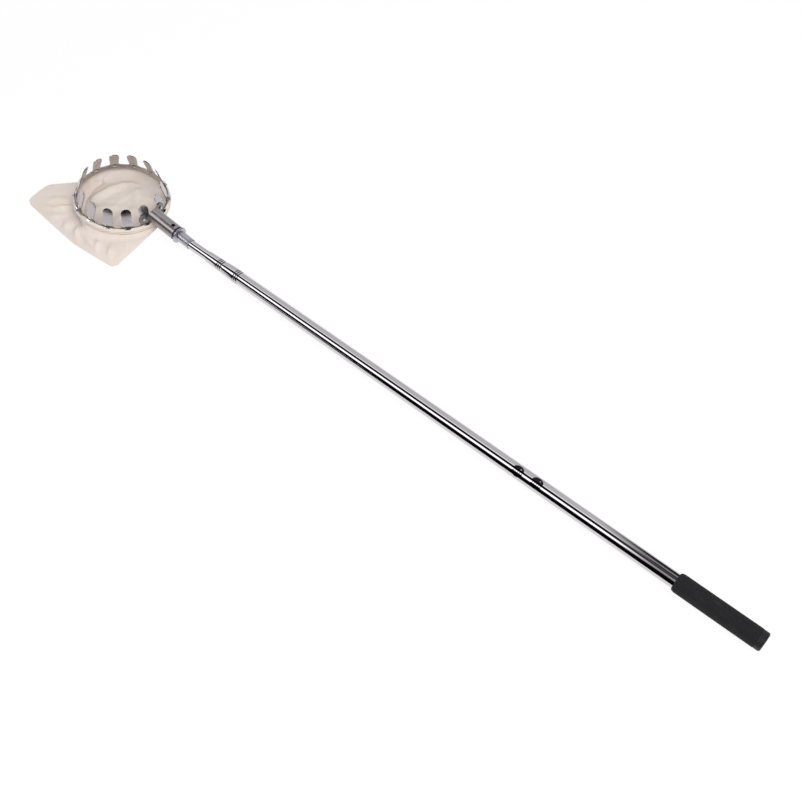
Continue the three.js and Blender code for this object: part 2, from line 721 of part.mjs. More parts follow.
// rolled sheet socket with a butt seam, coped to the ring and riveted to it by two ears
function socketSleeve() {
  const front = RING_X;
  const length = SLEEVE_REAR - front;
  const tube = new THREE.CylinderGeometry(SLEEVE_R, SLEEVE_R, length, SEGMENTS);
  tube.rotateZ(Math.PI / 2);
  tube.translate((SLEEVE_REAR + front) / 2, 0, 0);
  const inside = SLEEVE_R - SLEEVE_WALL;
  const bore = new THREE.CylinderGeometry(inside, inside, length + 20, SEGMENTS);
  bore.rotateZ(Math.PI / 2);
  bore.translate((SLEEVE_REAR + front) / 2, 0, 0);
  const envelope = ringEnvelope();
  envelope.translate(RING_X, RING_ASIDE, 0);
  const [near, far] = [-1, 1].map((side) =>
    ear(side).subtract(rivetHole(side)).translate([RING_X, RING_ASIDE, 0]),
  );
  const seamLength = SLEEVE_LENGTH * SEAM_SHARE;
  const seam = new THREE.BoxGeometry(seamLength * 2, SEAM_WIDTH, 2 * SLEEVE_WALL + 2);
  seam.translate(SLEEVE_REAR - SLEEVE_LENGTH, 0, SLEEVE_R);
  seam.rotateX(rad(SEAM_TURN));
  const body = solid(tube)
    .subtract(solid(envelope))
    .add(near)
    .add(far)
    .subtract(solid(bore))
    .subtract(solid(seam))
    .subtract(radialHole(SCREW_HOLE_R, SCREW_X));
  return piece('socket_sleeve', surfaceOf(body), FINISH.polished());
}

function earRivet(side, name) {
  const outside = 2 * GAP + SHEET;
  const inside = -SHEET - GAP;
  const profile = [
    [inside - RIVET_HEAD, 0],
    [inside - RIVET_HEAD, RIVET_HEAD_R * 0.6],
    [inside - RIVET_HEAD * 0.4, RIVET_HEAD_R * 0.92],
    [inside, RIVET_HEAD_R],
    [inside, RIVET_R],
    [outside, RIVET_R],
    [outside, RIVET_HEAD_R],
    [outside + RIVET_HEAD * 0.4, RIVET_HEAD_R * 0.92],
    [outside + RIVET_HEAD, RIVET_HEAD_R * 0.6],
    [outside + RIVET_HEAD, 0],
  ];
  const mesh = piece(name, turned(profile, 16), FINISH.steel());
  mesh.applyMatrix4(rivetPlace(side));
  return mesh;
}

// ---- the bag ------------------------------------------------------------------------------

// wire sewn in the bag's hem, under the hooks
function hemWire() {
  const geometry = new THREE.TorusGeometry(WIRE_RING_R, WIRE_R, 6, BAG_SIDES);
  const mesh = piece('hem_wire', welded(geometry), FINISH.steel());
  mesh.position.z = HEM_TOP_Z - CLOTH - HEM_ROOM - WIRE_R;
  return mesh;
}

// distance from the ring's middle to the edge of the empty bag's outline on the ground
function outlineAt(angle) {
  const rounds = [{ x: 0, y: 0, round: RING_R + BAG_OUTSIDE_RING }, ...BAG_CORNERS];
  let reach = Infinity;
  for (let k = -44; k <= 44; k += 1) {
    const turn = rad(2 * k);
    const x = Math.cos(angle + turn);
    const y = Math.sin(angle + turn);
    const support = Math.max(...rounds.map((c) => c.x * x + c.y * y + c.round));
    reach = Math.min(reach, support / Math.cos(turn));
  }
  return reach;
}

// cotton bag lying empty: a flat pouch of two layers, drawn up to its hem around the ring
function clothBag(toWorld) {
  const middle = new THREE.Vector3(0, 0, BAND_FOOT_Z).applyMatrix4(toWorld);
  const loop = (pointAt) => {
    const points = [];
    for (let i = 0; i < BAG_SIDES; i += 1) points.push(pointAt((2 * Math.PI * i) / BAG_SIDES, i));
    return points;
  };
  const onGround = (angle, r, z) =>
    new THREE.Vector3(middle.x + r * Math.cos(angle), middle.y + r * Math.sin(angle), z);
  const onHem = (r, z) =>
    loop((a) => new THREE.Vector3(r * Math.cos(a), r * Math.sin(a), z).applyMatrix4(toWorld));
  const hemFoot = onHem(HEM_OUT_R, HEM_FOOT_Z);
  const footR = HEM_OUT_R + BAG_FOOT;
  const footAt = (angle, i) => {
    const z = Math.min(POUCH, (POUCH_EDGE + hemFoot[i].z) / 2);
    return onGround(angle, Math.min(outlineAt(angle), footR), z);
  };
  const loops = [
    loop((angle) => onGround(angle, outlineAt(angle) - POUCH_EDGE / 2, 0)),
    loop((angle) => onGround(angle, outlineAt(angle), POUCH_EDGE / 2)),
    loop((angle) => onGround(angle, outlineAt(angle) - POUCH_EDGE / 2, POUCH_EDGE)),
    loop(footAt),
    hemFoot,
    onHem(HEM_OUT_R, HEM_TOP_Z - 0.8),
    onHem(HEM_OUT_R - 0.8, HEM_TOP_Z),
    onHem(HEM_IN_R + 0.8, HEM_TOP_Z),
    onHem(HEM_IN_R, HEM_TOP_Z - 0.8),
    onHem(HEM_IN_R, HEM_TOP_Z - HEM_TURNED_IN),
    onHem(HEM_IN_R + CLOTH, HEM_TOP_Z - HEM_TURNED_IN),
    onHem(HEM_IN_R + CLOTH, HEM_TOP_Z - CLOTH),
    onHem(HEM_OUT_R - CLOTH, HEM_TOP_Z - CLOTH),
    onHem(HEM_OUT_R - CLOTH, HEM_FOOT_Z),
    loop((angle) => onGround(angle, RING_R - 2, BAG_FLOOR)),
  ];
  return piece('cloth_bag', lofted(loops), FINISH.cotton());
}

// ---- assembly -----------------------------------------------------------------------------

const pole = new THREE.Group();
pole.add(
  innerTube(),
  lockPlug('inner_lock_plug', INNER_TUBE_END, INNER_TUBE_R, MID_TUBE_R - TUBE_WALL - GAP),
  lockCollet('inner_lock_collet', INNER_TUBE_END, MID_TUBE_R - TUBE_WALL - GAP),
  outerTube('mid_tube', MID_MOUTH, MID_TUBE_END, MID_TUBE_R),
  mouthBush('mid_mouth_bush', MID_MOUTH, MID_TUBE_R, INNER_TUBE_R),
  lockPlug('mid_lock_plug', MID_TUBE_END, MID_TUBE_R, MAIN_TUBE_R - TUBE_WALL - GAP),
  lockCollet('mid_lock_collet', MID_TUBE_END, MAIN_TUBE_R - TUBE_WALL - GAP),
  outerTube('main_tube', MAIN_MOUTH, MAIN_TUBE_END, MAIN_TUBE_R),
  mouthBush('main_mouth_bush', MAIN_MOUTH, MAIN_TUBE_R, MID_TUBE_R),
  gripSleeve(),
  gripEndCap(),
);

// the head leaves the pole with the bend, and is rolled a little about its own axis
const head = new THREE.Group();
head.rotation.y = rad(HEAD_PITCH);
const rolled = new THREE.Group();
rolled.rotation.x = rad(HEAD_ROLL);
rolled.add(headWasher(), socketSleeve(), socketInsert(), socketSetScrew());
head.add(lockCollar(), threadedStud(), rolled);
pole.add(head);

const ring = new THREE.Group();
ring.position.set(RING_X, RING_ASIDE, 0);
ring.add(
  pickingRing(),
  hemWire(),
  earRivet(-1, 'ear_rivet_near'),
  earRivet(1, 'ear_rivet_far'),
);
rolled.add(ring);

// the grip lies on the ground, unless the ring reaches lower, on the bag's lower layer
pole.updateMatrixWorld(true);
const ringFoot = new THREE.TorusGeometry(RING_R, 0, 3, 72);
ringFoot.translate(0, 0, BAND_FOOT_Z);
ringFoot.applyMatrix4(ring.matrixWorld);
ringFoot.computeBoundingBox();
pole.position.z = Math.max(GRIP_R, BAG_FLOOR + GAP - ringFoot.boundingBox.min.z);

const picker = new THREE.Group();
picker.name = 'fruit_picker';
picker.add(pole);
picker.updateMatrixWorld(true);
picker.add(clothBag(ring.matrixWorld));

// origin under the middle of the whole
const bounds = new THREE.Box3().setFromObject(picker, true);
const middle = bounds.getCenter(new THREE.Vector3());
for (const child of picker.children) child.position.sub(middle.clone().setZ(0));

export default picker;
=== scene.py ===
import math
from math import cos, pi, radians, sin

import bmesh
import bpy
from mathutils import Matrix, Vector, noise


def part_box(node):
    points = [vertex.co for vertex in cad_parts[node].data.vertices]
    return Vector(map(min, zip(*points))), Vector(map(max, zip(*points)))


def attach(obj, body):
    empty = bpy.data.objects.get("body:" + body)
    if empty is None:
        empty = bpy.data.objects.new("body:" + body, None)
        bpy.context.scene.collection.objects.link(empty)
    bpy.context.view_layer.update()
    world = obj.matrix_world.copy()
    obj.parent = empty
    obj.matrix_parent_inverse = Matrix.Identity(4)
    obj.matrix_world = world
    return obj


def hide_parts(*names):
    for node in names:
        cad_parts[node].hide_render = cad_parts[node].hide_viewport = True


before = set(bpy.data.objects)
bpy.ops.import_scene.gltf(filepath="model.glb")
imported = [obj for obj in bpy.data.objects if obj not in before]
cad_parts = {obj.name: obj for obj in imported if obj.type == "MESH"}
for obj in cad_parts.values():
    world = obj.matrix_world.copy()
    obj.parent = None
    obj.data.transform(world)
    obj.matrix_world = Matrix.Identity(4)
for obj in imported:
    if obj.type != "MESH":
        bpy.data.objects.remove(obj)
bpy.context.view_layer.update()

# ---- camera: above the grip's end of the pole, looking down on the whole picker
MM = 0.001
GRIP_END = 1041.8 * MM  # from the point where the head's axis meets the pole's
tube_low, tube_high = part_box("main_tube")
pole_y, pole_z = (tube_low.y + tube_high.y) / 2, (tube_low.z + tube_high.z) / 2
pole_start = Vector((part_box("grip_end_cap")[1].x - GRIP_END, pole_y, pole_z))
ground = Vector((pole_start.x, pole_y, 0))
scene = bpy.context.scene


def as_object(name, data):
    thing = bpy.data.objects.new(name, data)
    scene.collection.objects.link(thing)
    return thing


def aim(thing, spot):
    thing.rotation_mode = "QUATERNION"
    thing.rotation_quaternion = (spot - thing.location).to_track_quat("-Z", "Y")


lens = bpy.data.cameras.new("camera")
lens.sensor_width = 36
lens.lens = 46.3
lens.clip_start, lens.clip_end = 0.05, 50
camera = as_object("camera", lens)
camera.location = ground + Vector((1.0092, -0.6616, 1.2426))
aim(camera, ground + Vector((0.45306, -0.00743, 0)))
scene.camera = camera


# ---- tubes: three polished stainless tubes, drawn and buffed, that slide in each other
# Each outer tube is rolled inwards at its mouth and has three rolled grooves, which hold a bush.
class Socket:
    """An output of a node that can be calculated with: each operator adds its Math node."""

    def __init__(self, recipe, node, name=0):
        self.recipe, self.node = recipe, node
        self.output = node.outputs[name] if node.outputs else None

    def __getitem__(self, name):
        return Socket(self.recipe, self.node, name)

    def math(self, operation, *values):
        return self.recipe.add("ShaderNodeMath", [self, *values], operation=operation)

    def __add__(self, other):
        return self.math("ADD", other)

    __radd__ = __add__

    def __sub__(self, other):
        return self.math("SUBTRACT", other)

    def __rsub__(self, other):
        return self.recipe.add("ShaderNodeMath", [other, self], operation="SUBTRACT")

    def __mul__(self, other):
        return self.math("MULTIPLY", other)

    __rmul__ = __mul__


class Recipe:
    """A node tree that is written node by node."""

    def __init__(self, tree):
        self.tree = tree
        tree.nodes.clear()

    def add(self, kind, values=(), stops=(), sockets=None, **settings):
        """A node with its settings first, then values or links by position or by name."""
        node = self.tree.nodes.new(kind)
        for name, value in settings.items():
            setattr(node, name, value)
        for number, (place, colour) in enumerate(stops):
            points = node.color_ramp.elements
            point = points[number] if number < 2 else points.new(place)
            point.position, point.color = place, (*colour, 1)
        for key, value in [*enumerate(values), *(sockets or {}).items()]:
            if isinstance(value, Socket):
                self.tree.links.new(value.output, node.inputs[key])
            elif value is not None:
                node.inputs[key].default_value = value
        return Socket(self, node)


class Finish(Recipe):
    """The node tree of a material, with what the finishes share."""

    def __init__(self, name):
        self.material = bpy.data.materials.new(name)
        self.material.use_nodes = True
        super().__init__(self.material.node_tree)
        self.place = self.add("ShaderNodeTexCoord")["Object"]

    def blend(self, share, low, high):
        """From one colour to another by a share between 0 and 1."""
        low, high = ((*c, 1) if isinstance(c, tuple) else c for c in (low, high))
        mixed = self.add("ShaderNodeMix", data_type="RGBA", sockets={0: share, 6: low, 7: high})
        return mixed[2]

    def step(self, value, start, end):
        """0 before start, 1 after end, smooth between them."""
        return self.add("ShaderNodeMapRange", [value, start, end], interpolation_type="SMOOTHSTEP")

    def parts(self, vector):
        return self.add("ShaderNodeSeparateXYZ", [vector])

    def noise(self, scale, detail=2.0, stretch=(1, 1, 1)):
        spot = self.add("ShaderNodeMapping", [self.place], sockets={"Scale": stretch})
        sockets = {"Vector": spot, "Scale": scale, "Detail": detail}
        return self.add("ShaderNodeTexNoise", sockets=sockets)

    def made(self, height, strength, distance, **sockets):
        """The material: a principled surface with a bump from a height."""
        names = {name.replace("_", " "): value for name, value in sockets.items()}
        bump = {"Height": height, "Strength": strength, "Distance": distance}
        names["Normal"] = self.add("ShaderNodeBump", sockets=bump)
        surface = self.add("ShaderNodeBsdfPrincipled", sockets=names)
        self.add("ShaderNodeOutputMaterial", [surface])
        return self.material


# Places are from the pole's start and aside of the tube's top line; breaks are in radians.
PRINTS = ((660 * MM, 5.4 * MM), (691.3 * MM, 3.9 * MM))
PRINT_R, PRINT_EDGE = 9 * MM, 0.3 * MM
BAR_ASIDE, BAR_HALF, BAR_EDGE = 5.7 * MM, 1 * MM, 0.4 * MM
BREAKS_A_METRE, FIRST_BREAK = 1900, 0.6
DOT_X, DOT_ASIDE, DOT_R, DOT_EDGE = 3 * MM, -4.5 * MM, 0.9 * MM, 0.5 * MM


def printed_marks(r):
    """Ink of two roundels, each with a bare broken bar along the tube and a paler dot."""
    spot = r.parts(r.add("ShaderNodeUVMap", uv_map="unrolled"))
    bar = r.step((spot["Y"] - BAR_ASIDE).math("ABSOLUTE"), BAR_HALF + BAR_EDGE, BAR_HALF)
    ink = 0.0
    for x, aside in PRINTS:
        dx, dy = spot["X"] - x, spot["Y"] - aside
        far = (dx * dx + dy * dy).math("SQRT")
        disc = r.step(far, PRINT_R + PRINT_EDGE, PRINT_R - PRINT_EDGE)
        breaks = r.step((dx * BREAKS_A_METRE + FIRST_BREAK).math("SINE"), 0.55, 0.8)
        dot_x, dot_y = dx - DOT_X, dy - DOT_ASIDE
        dot = r.step((dot_x * dot_x + dot_y * dot_y).math("SQRT"), DOT_R + DOT_EDGE, DOT_R)
        ink = ink + disc * (1 - bar * (1 - breaks)) * (1 - dot * 0.5)
    return ink


def polished_steel(
    name, low=(0.60, 0.585, 0.60), high=(0.65, 0.64, 0.655), dull=0.03, printed=False
):
    """Buffed stainless: fine lines along the tube, faint smears, and painted shade that darkens
    steep faces such as the grooves' slopes.
    """
    r = Finish(name)
    lines = r.noise(900, 3.0, (0.02, 1, 1))
    smears = r.noise(14, 3.0, (0.3, 1, 1))
    roughness = dull + r.step(smears, 0.5, 0.85) * 0.04
    steep_face_shade = r.parts(r.add("ShaderNodeTexCoord")["Normal"])["X"].math("ABSOLUTE")
    colour = r.blend(smears, low, high)
    # Painted shade: steep faces, such as the slopes of the grooves and the ends of the tubes, are
    # darkened.
    colour = r.blend(r.step(steep_face_shade, 0.15, 0.7) * 0.55, colour, (0.10, 0.095, 0.10))
    if printed:
        ink = printed_marks(r)
        colour = r.blend(ink, colour, (0.02, 0.02, 0.022))
        roughness = roughness + ink * 0.05
    return r.made(lines, 0.02, 0.0002, Base_Color=colour, Roughness=roughness, Metallic=1.0)


def smooth_by_angle(mesh):
    """Smooth faces with sharp edges where the surface turns by 35 degrees."""
    work = bmesh.new()
    work.from_mesh(mesh)
    for face in work.faces:
        face.smooth = True
    for edge in work.edges:
        edge.smooth = edge.calc_face_angle(0) < radians(35)
    work.to_mesh(mesh)
    work.free()


def coat(mesh, material):
    mesh.materials.clear()
    mesh.materials.append(material)


def new_piece(name, mesh, body, stands_for, material, place=None):
    """A finished mesh that replaces its CAD node and rides on that node's body."""
    if place is not None:
        mesh.transform(place)
    smooth_by_angle(mesh)
    coat(mesh, material)
    mesh.name = name
    piece = as_object(name, mesh)
    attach(piece, body)
    if stands_for:
        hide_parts(stands_for)
    return piece


def as_mesh(work):
    mesh = bpy.data.meshes.new("mesh")
    work.to_mesh(mesh)
    work.free()
    return mesh


def turned(profile, segments=96):
    """Mesh of a profile of (x, radius) turned about X, unrolled in its UV map in metres.

    A profile either starts and ends on the axis or is closed on itself.
    """
    work = bmesh.new()
    unrolled = work.loops.layers.uv.new("unrolled")
    rings = []
    for x, radius in profile:
        turns = [2 * pi * k / segments for k in range(segments if radius else 1)]
        places = [(x, -radius * sin(turn), radius * cos(turn)) for turn in turns]
        rings.append([work.verts.new(place) for place in places])
    spans = list(zip(profile, rings))
    if profile[0][1]:
        spans.append(spans[0])
    for ((xa, ra), first), ((xb, rb), second) in zip(spans, spans[1:]):
        for k in range(segments):
            n = (k + 1) % segments
            corners = [(first, k, xa), (first, n, xa), (second, n, xb), (second, k, xb)]
            if len(first) == 1:
                corners.pop(1)
            elif len(second) == 1:
                corners.pop()
            face = work.faces.new([ring[i % len(ring)] for ring, i, _ in corners])
            for loop, (_, i, x) in zip(face.loops, corners):
                turn = i - segments if i > segments / 2 else i
                loop[unrolled].uv = (x, turn * 2 * pi * max(ra, rb) / segments)
    bmesh.ops.recalc_face_normals(work, faces=work.faces)
    return as_mesh(work)


def fillet(profile, radius, steps=5):
    """Rounds the corners of a profile that are sharp enough to need it."""
    result = []
    for i, point in enumerate(profile):
        here = Vector(point)
        before = Vector(profile[i - 1]) - here
        after = Vector(profile[(i + 1) % len(profile)]) - here
        angle = before.angle(after)
        on_axis = point[1] == 0
        if on_axis or angle > radians(150):
            result.append(point)
            continue
        cut = min(radius / math.tan(angle / 2), before.length * 0.45, after.length * 0.45)
        start, end = here + before.normalized() * cut, here + after.normalized() * cut
        for k in range(steps + 1):
            t = k / steps
            result.append(tuple(start * (1 - t) ** 2 + here * 2 * t * (1 - t) + end * t**2))
    return result


TUBE_WALL = 0.6 * MM
INNER_R, MID_R, MAIN_R = 8 * MM, 9.5 * MM, 11 * MM
GROOVE_DEPTH, GROOVE_HALF = 0.8 * MM, 1.2 * MM
FIRST_GROOVE, GROOVE_PITCH = 12 * MM, 4 * MM
MOUTH_TAPER, MOUTH_DROP = 14 * MM, 0.6 * MM


def ease(value):
    """From 0 to 1 with a soft start and end."""
    value = min(max(value, 0), 1)
    return value * value * (3 - 2 * value)


def wall(mouth, end, radius):
    """Points of a tube's wall from its mouth, over the three grooves, to its end."""
    points = [(mouth, radius)]
    for k in range(3):
        middle = mouth + FIRST_GROOVE + GROOVE_PITCH * k
        for j in range(9):
            t = j / 4 - 1
            dip = GROOVE_DEPTH * (0.5 + 0.5 * cos(pi * t))
            points.append((middle + t * GROOVE_HALF, radius - dip))
    return [*points, (end, radius)]


def sliding_tube(mouth, end, radius):
    """Tube with a drawn-in mouth: along its outside and back along its inside."""
    drawn_in = [
        (mouth + MOUTH_TAPER * k / 8, radius - MOUTH_DROP * (1 - k / 8) ** 1.3) for k in range(8)
    ]
    lip = [(mouth + 0.1 * MM, drawn_in[0][1] - TUBE_WALL), (mouth, drawn_in[0][1] - TUBE_WALL / 2)]
    outside = [*drawn_in, *wall(mouth + MOUTH_TAPER, end, radius)]
    inside = [(x, y - TUBE_WALL) for x, y in outside[1:]]
    return turned([*outside, *reversed(inside), *lip], 128)


pole_place = Matrix.Translation(pole_start)
plain_tube = polished_steel("polished_steel")
printed_tube = polished_steel("polished_steel_printed", printed=True)

new_piece(
    "outer_tube", sliding_tube(80 * MM, 1030 * MM, MAIN_R),
    "pole", "main_tube", printed_tube, pole_place,
)
new_piece(
    "middle_tube", sliding_tube(42 * MM, 975 * MM, MID_R),
    "mid", "mid_tube", plain_tube, pole_place,
)

# The innermost tube is bent up a little at its end, where the collar is pressed on.
HEAD_PITCH = radians(7)
BEND_R = 45 * MM
BEND_RUN = BEND_R * math.tan(HEAD_PITCH / 2)
INNER_END = 925 * MM
FLANGE_REAR = -BEND_RUN - 23.3 * MM
FLANGE_FRONT = FLANGE_REAR - 13 * MM
TUBE_TIP = FLANGE_FRONT + 6.8 * MM


def bent(point):
    """Place of a point of the straight tube once its end is bent about the bend's centre."""
    run = BEND_RUN - point.x
    if run <= 0:
        return point
    turn = min(run / BEND_R, HEAD_PITCH)
    beyond = run - BEND_R * turn
    reach = BEND_R - point.z
    x = BEND_RUN - reach * sin(turn) - beyond * cos(turn)
    z = BEND_R - reach * cos(turn) + beyond * sin(turn)
    return Vector((x, point.y, z))


arc = BEND_R * HEAD_PITCH
tip = 2 * BEND_RUN - arc + TUBE_TIP
bend_steps = [BEND_RUN - arc * k / 8 for k in range(9)]
stops = [INNER_END, *bend_steps, tip]
outside = [(x, INNER_R) for x in stops]
inside = [(x, INNER_R - TUBE_WALL) for x in reversed(stops)]
mesh = turned(outside + inside)
for vertex in mesh.vertices:
    vertex.co = bent(vertex.co)
new_piece("innermost_tube", mesh, "head", "inner_tube", plain_tube, pole_place)

# ---- bushes and locks: natural nylon on turned steel plugs, inside the tubes
# The bush shows as a pale ring in each mouth; collets and plugs sit deep inside. The collar's
# stud, the socket's nut and the wire in the bag's hem are bright steel like the plugs.


def plain_finish(name, low, high, roughness, metallic=0.0, grain=400, bump=0.05):
    """One colour with a fine grain, for moulded and turned pieces."""
    r = Finish(name)
    fine = r.noise(grain, 3.0)
    broad = r.noise(30)
    colour = r.blend(broad, low, high)
    return r.made(
        fine, bump, 0.0003,
        Base_Color=colour, Roughness=roughness + fine * 0.06, Metallic=metallic,
    )


nylon = plain_finish("natural_nylon", (0.74, 0.72, 0.66), (0.82, 0.8, 0.75), 0.42)
turned_steel = plain_finish("turned_steel", (0.5, 0.5, 0.51), (0.58, 0.58, 0.59), 0.24, 1.0, 900)
for node in ("mid_mouth_bush", "main_mouth_bush", "inner_lock_collet", "mid_lock_collet"):
    coat(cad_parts[node].data, nylon)
for node in ("inner_lock_plug", "mid_lock_plug", "threaded_stud", "socket_insert", "hem_wire"):
    coat(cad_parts[node].data, turned_steel)

# ---- grip: dense black foam rubber pushed over the tube, closed by a moulded cap
# The grip has a chamfer in front; the cap's rim lies flush behind it.
GRIP_START, GRIP_R, GRIP_BORE = 912 * MM, 14, 11.3  # radii in mm, as in the profiles
CAP_R, CAP_ROUND = 13.7, 2.6


def foam_rubber():
    r = Finish("foam_rubber")
    pores = r.add("ShaderNodeTexVoronoi", sockets={"Vector": r.place, "Scale": 1500.0})
    cells = r.noise(2600, 3.0)
    cloudy = r.noise(45, 4.0)
    scuffs = r.step(r.noise(160, 3.0, (0.25, 1, 1)), 0.6, 0.75)
    colour = r.blend(cloudy, (0.0074, 0.0074, 0.0085), (0.0126, 0.0126, 0.0137))
    colour = r.blend(scuffs * 0.35, colour, (0.0281, 0.0274, 0.0281))
    return r.made(
        pores * 0.6 + cells * 0.6, 0.5, 0.0003, Base_Color=colour, Roughness=0.78 + cells * 0.15
    )


def at(x, *points):
    """Corners of a profile in mm: along the axis from x, and out from the axis."""
    return [(x + along * MM, out * MM) for along, out in points]


grip_profile = at(
    GRIP_START, (0, GRIP_BORE), (0, GRIP_R - 2.2), (1.1, GRIP_R - 1.1), (4.5, GRIP_R),
    (118.9, GRIP_R), (119.2, GRIP_R - 0.3), (119.2, GRIP_BORE),
)
new_piece(
    "foam_grip", turned(fillet(grip_profile, 0.6 * MM), 128),
    "pole", "grip_sleeve", foam_rubber(), pole_place,
)

# Black moulding of the grip's cap; on the washer behind the collar's flange the same black is
# painted shade of the gap.
black_plastic_and_gap_shade = plain_finish(
    "black_moulding", (0.010, 0.010, 0.0115), (0.016, 0.0155, 0.016), 0.5, grain=1200
)
cap_start, cap_end = 1031.3 * MM, GRIP_END - 0.9 * MM
cap_profile = at(cap_end, (0, 0), (0, CAP_R - 4.4))
for k in range(7):
    turn = radians(15 * k)
    inwards = CAP_R - CAP_ROUND * (1 - sin(turn))
    cap_profile += at(cap_end, (-CAP_ROUND * (1 - cos(turn)), inwards))
cap_profile += at(
    cap_start, (0.4, CAP_R), (0.1, CAP_R - 0.08), (0, CAP_R - 0.25), (0, 10.1), (-20, 9.6),
    (-20, 7.7), (0, 7.7), (0, 0),
)
new_piece(
    "grip_cap", turned(cap_profile),
    "pole", "grip_end_cap", black_plastic_and_gap_shade, pole_place,
)

# ---- collar: turned steel, zinc plated, pressed on the bent end of the innermost tube
# Its flange stops the head. A thick washer fills the gap between the two; its black is painted
# shade of that gap.
head_place = pole_place @ Matrix.Rotation(HEAD_PITCH, 4, "Y")
rolled_place = head_place @ Matrix.Rotation(radians(-5), 4, "X")


def zinc_plate():
    r = Finish("zinc_plate")
    cut_lines = r.noise(700, 2.0, (1, 0.03, 0.03))
    bloom = r.noise(60, 3.0)
    colour = r.blend(bloom, (0.50, 0.49, 0.55), (0.64, 0.63, 0.69))
    return r.made(
        cut_lines, 0.08, 0.0002, Base_Color=colour, Roughness=0.34 + bloom * 0.14, Metallic=1.0
    )


FLANGE_FACE = FLANGE_REAR - 2.3 * MM
BARREL_END = 1.2 * MM
collar_profile = fillet(
    [
        *at(FLANGE_FACE, (0, 6.3), (0, 12.6), (0.7, 13.9)),
        *at(FLANGE_REAR, (0.2, 14), (1.2, 13.2), (1.5, 12.2), (1.7, 9.6), (2.5, 9)),
        *at(BARREL_END, (-3.4, 8.9), (-3.0, 8.45), (-2.3, 8.45), (-1.9, 8.9)),
        *at(BARREL_END, (0, 8.75), (0, 8.35)),
        *at(FLANGE_FACE, (2.5, 8.35), (2.5, 6.3)),
    ],
    0.3 * MM,
)
new_piece(
    "zinc_collar", turned(collar_profile), "head", "lock_collar", zinc_plate(), head_place
)
WASHER_FACE = FLANGE_FACE - 0.2 * MM
washer_profile = at(WASHER_FACE, (-2.9, 6.3), (-2.9, 12.2), (0, 12.2), (0, 6.3))
# The washer's black is painted shade: it draws the dark gap between the socket and the flange.
new_piece(
    "plain_washer", turned(fillet(washer_profile, 0.25 * MM)),
    "head", "head_washer", black_plastic_and_gap_shade, rolled_place,
)

# ---- socket: sheet steel rolled to a tube, its butt seam a narrow gap beside the top
# Its front end is coped to the ring and flared into two ears. A round hole near its rear edge
# is for the grub screw.
RING_R, SHEET = 73.5 * MM, 1.2 * MM
SLEEVE_R, SLEEVE_WALL = 12.5 * MM, 1.2 * MM
SLEEVE_REAR = WASHER_FACE - 3.2 * MM
RING_X = FLANGE_FRONT - 49.3 * MM - RING_R - 0.3 * MM
RING_ASIDE = -1.8 * MM
BAND, PETAL_LENGTH = 8 * MM, 34 * MM
STRIP = BAND + PETAL_LENGTH
BAND_FOOT = -SLEEVE_R - 0.3 * MM - BAND
SOCKET_TURN = radians(6.25)
SOCKET_PITCH = 2 * math.asin((SLEEVE_R + 6.83 * MM) / RING_R)
PETALS = 14
PETAL_PITCH = (2 * pi - SOCKET_PITCH) / (PETALS - 1)
EAR_U, RIVET_ASIDE = BAND + 10 * MM, -4 * MM
PETAL_LEAN, TIP_CURL = 18, 5  # degrees
RIVET_HOLE_R = 2.3 * MM
ring_aside = Matrix.Translation((RING_X, RING_ASIDE, 0))
ring_place = rolled_place @ ring_aside


def lean_at(u):
    """How far the strip leans inwards at a height u up from its lower edge."""
    lean = ease((u - BAND + 1 * MM) / (8 * MM)) * PETAL_LEAN
    curl = ease((u - STRIP + 14 * MM) / (16 * MM)) * TIP_CURL
    return radians(lean + curl)


STRIP_STEPS = 210
strip_line = [(RING_R, BAND_FOOT)]
for step in range(STRIP_STEPS):
    lean = lean_at(STRIP * (step + 0.5) / STRIP_STEPS)
    r, z = strip_line[-1]
    length = STRIP / STRIP_STEPS
    strip_line.append((r - sin(lean) * length, z + cos(lean) * length))


def outer_face(u):
    """Radius and height of the strip's outer face at a height u up the strip."""
    place = min(max(u / STRIP, 0), 1) * STRIP_STEPS
    low = min(int(place), STRIP_STEPS - 1)
    share = place - low
    (ra, za), (rb, zb) = strip_line[low], strip_line[low + 1]
    return ra + (rb - ra) * share, za + (zb - za) * share


def round_axis(angle, r, z):
    """The place at an angle and a radius round the Z axis."""
    return Vector((r * cos(angle), r * sin(angle), z))


def on_strip(middle, w, u, out=0.0):
    """A point w across and u up the strip, out from its outer face."""
    r, z = outer_face(u)
    lean = lean_at(u)
    return round_axis(middle + w / r, r + out * cos(lean), z + out * sin(lean))


def ear_angle(side):
    """Angle round the ring of the petal beside the socket, near (-1) or far (1)."""
    return SOCKET_TURN + side * SOCKET_PITCH / 2


def rivet_place(side):
    angle = ear_angle(side) + RIVET_ASIDE / outer_face(EAR_U)[0]
    turn = Matrix.Rotation(angle, 4, "Z") @ Matrix.Rotation(-lean_at(EAR_U), 4, "Y")
    return Matrix.Translation(on_strip(angle, 0, EAR_U)) @ turn


def with_modifiers(thing):
    """The object's mesh with its modifiers applied; the object itself goes."""
    bpy.context.view_layer.update()
    done = thing.evaluated_get(bpy.context.evaluated_depsgraph_get())
    mesh = bpy.data.meshes.new_from_object(done)
    bpy.data.objects.remove(thing)
    return mesh


def cut(mesh, tool, operation="DIFFERENCE"):
    body, blade = as_object("body", mesh), as_object("blade", tool)
    edit = body.modifiers.new("cut", "BOOLEAN")
    edit.operation, edit.object, edit.solver = operation, blade, "EXACT"
    result = with_modifiers(body)
    bpy.data.objects.remove(blade)
    return result


def block(size, place):
    work = bmesh.new()
    bmesh.ops.create_cube(work, size=1, matrix=place @ Matrix.Diagonal((*size, 1)))
    return as_mesh(work)


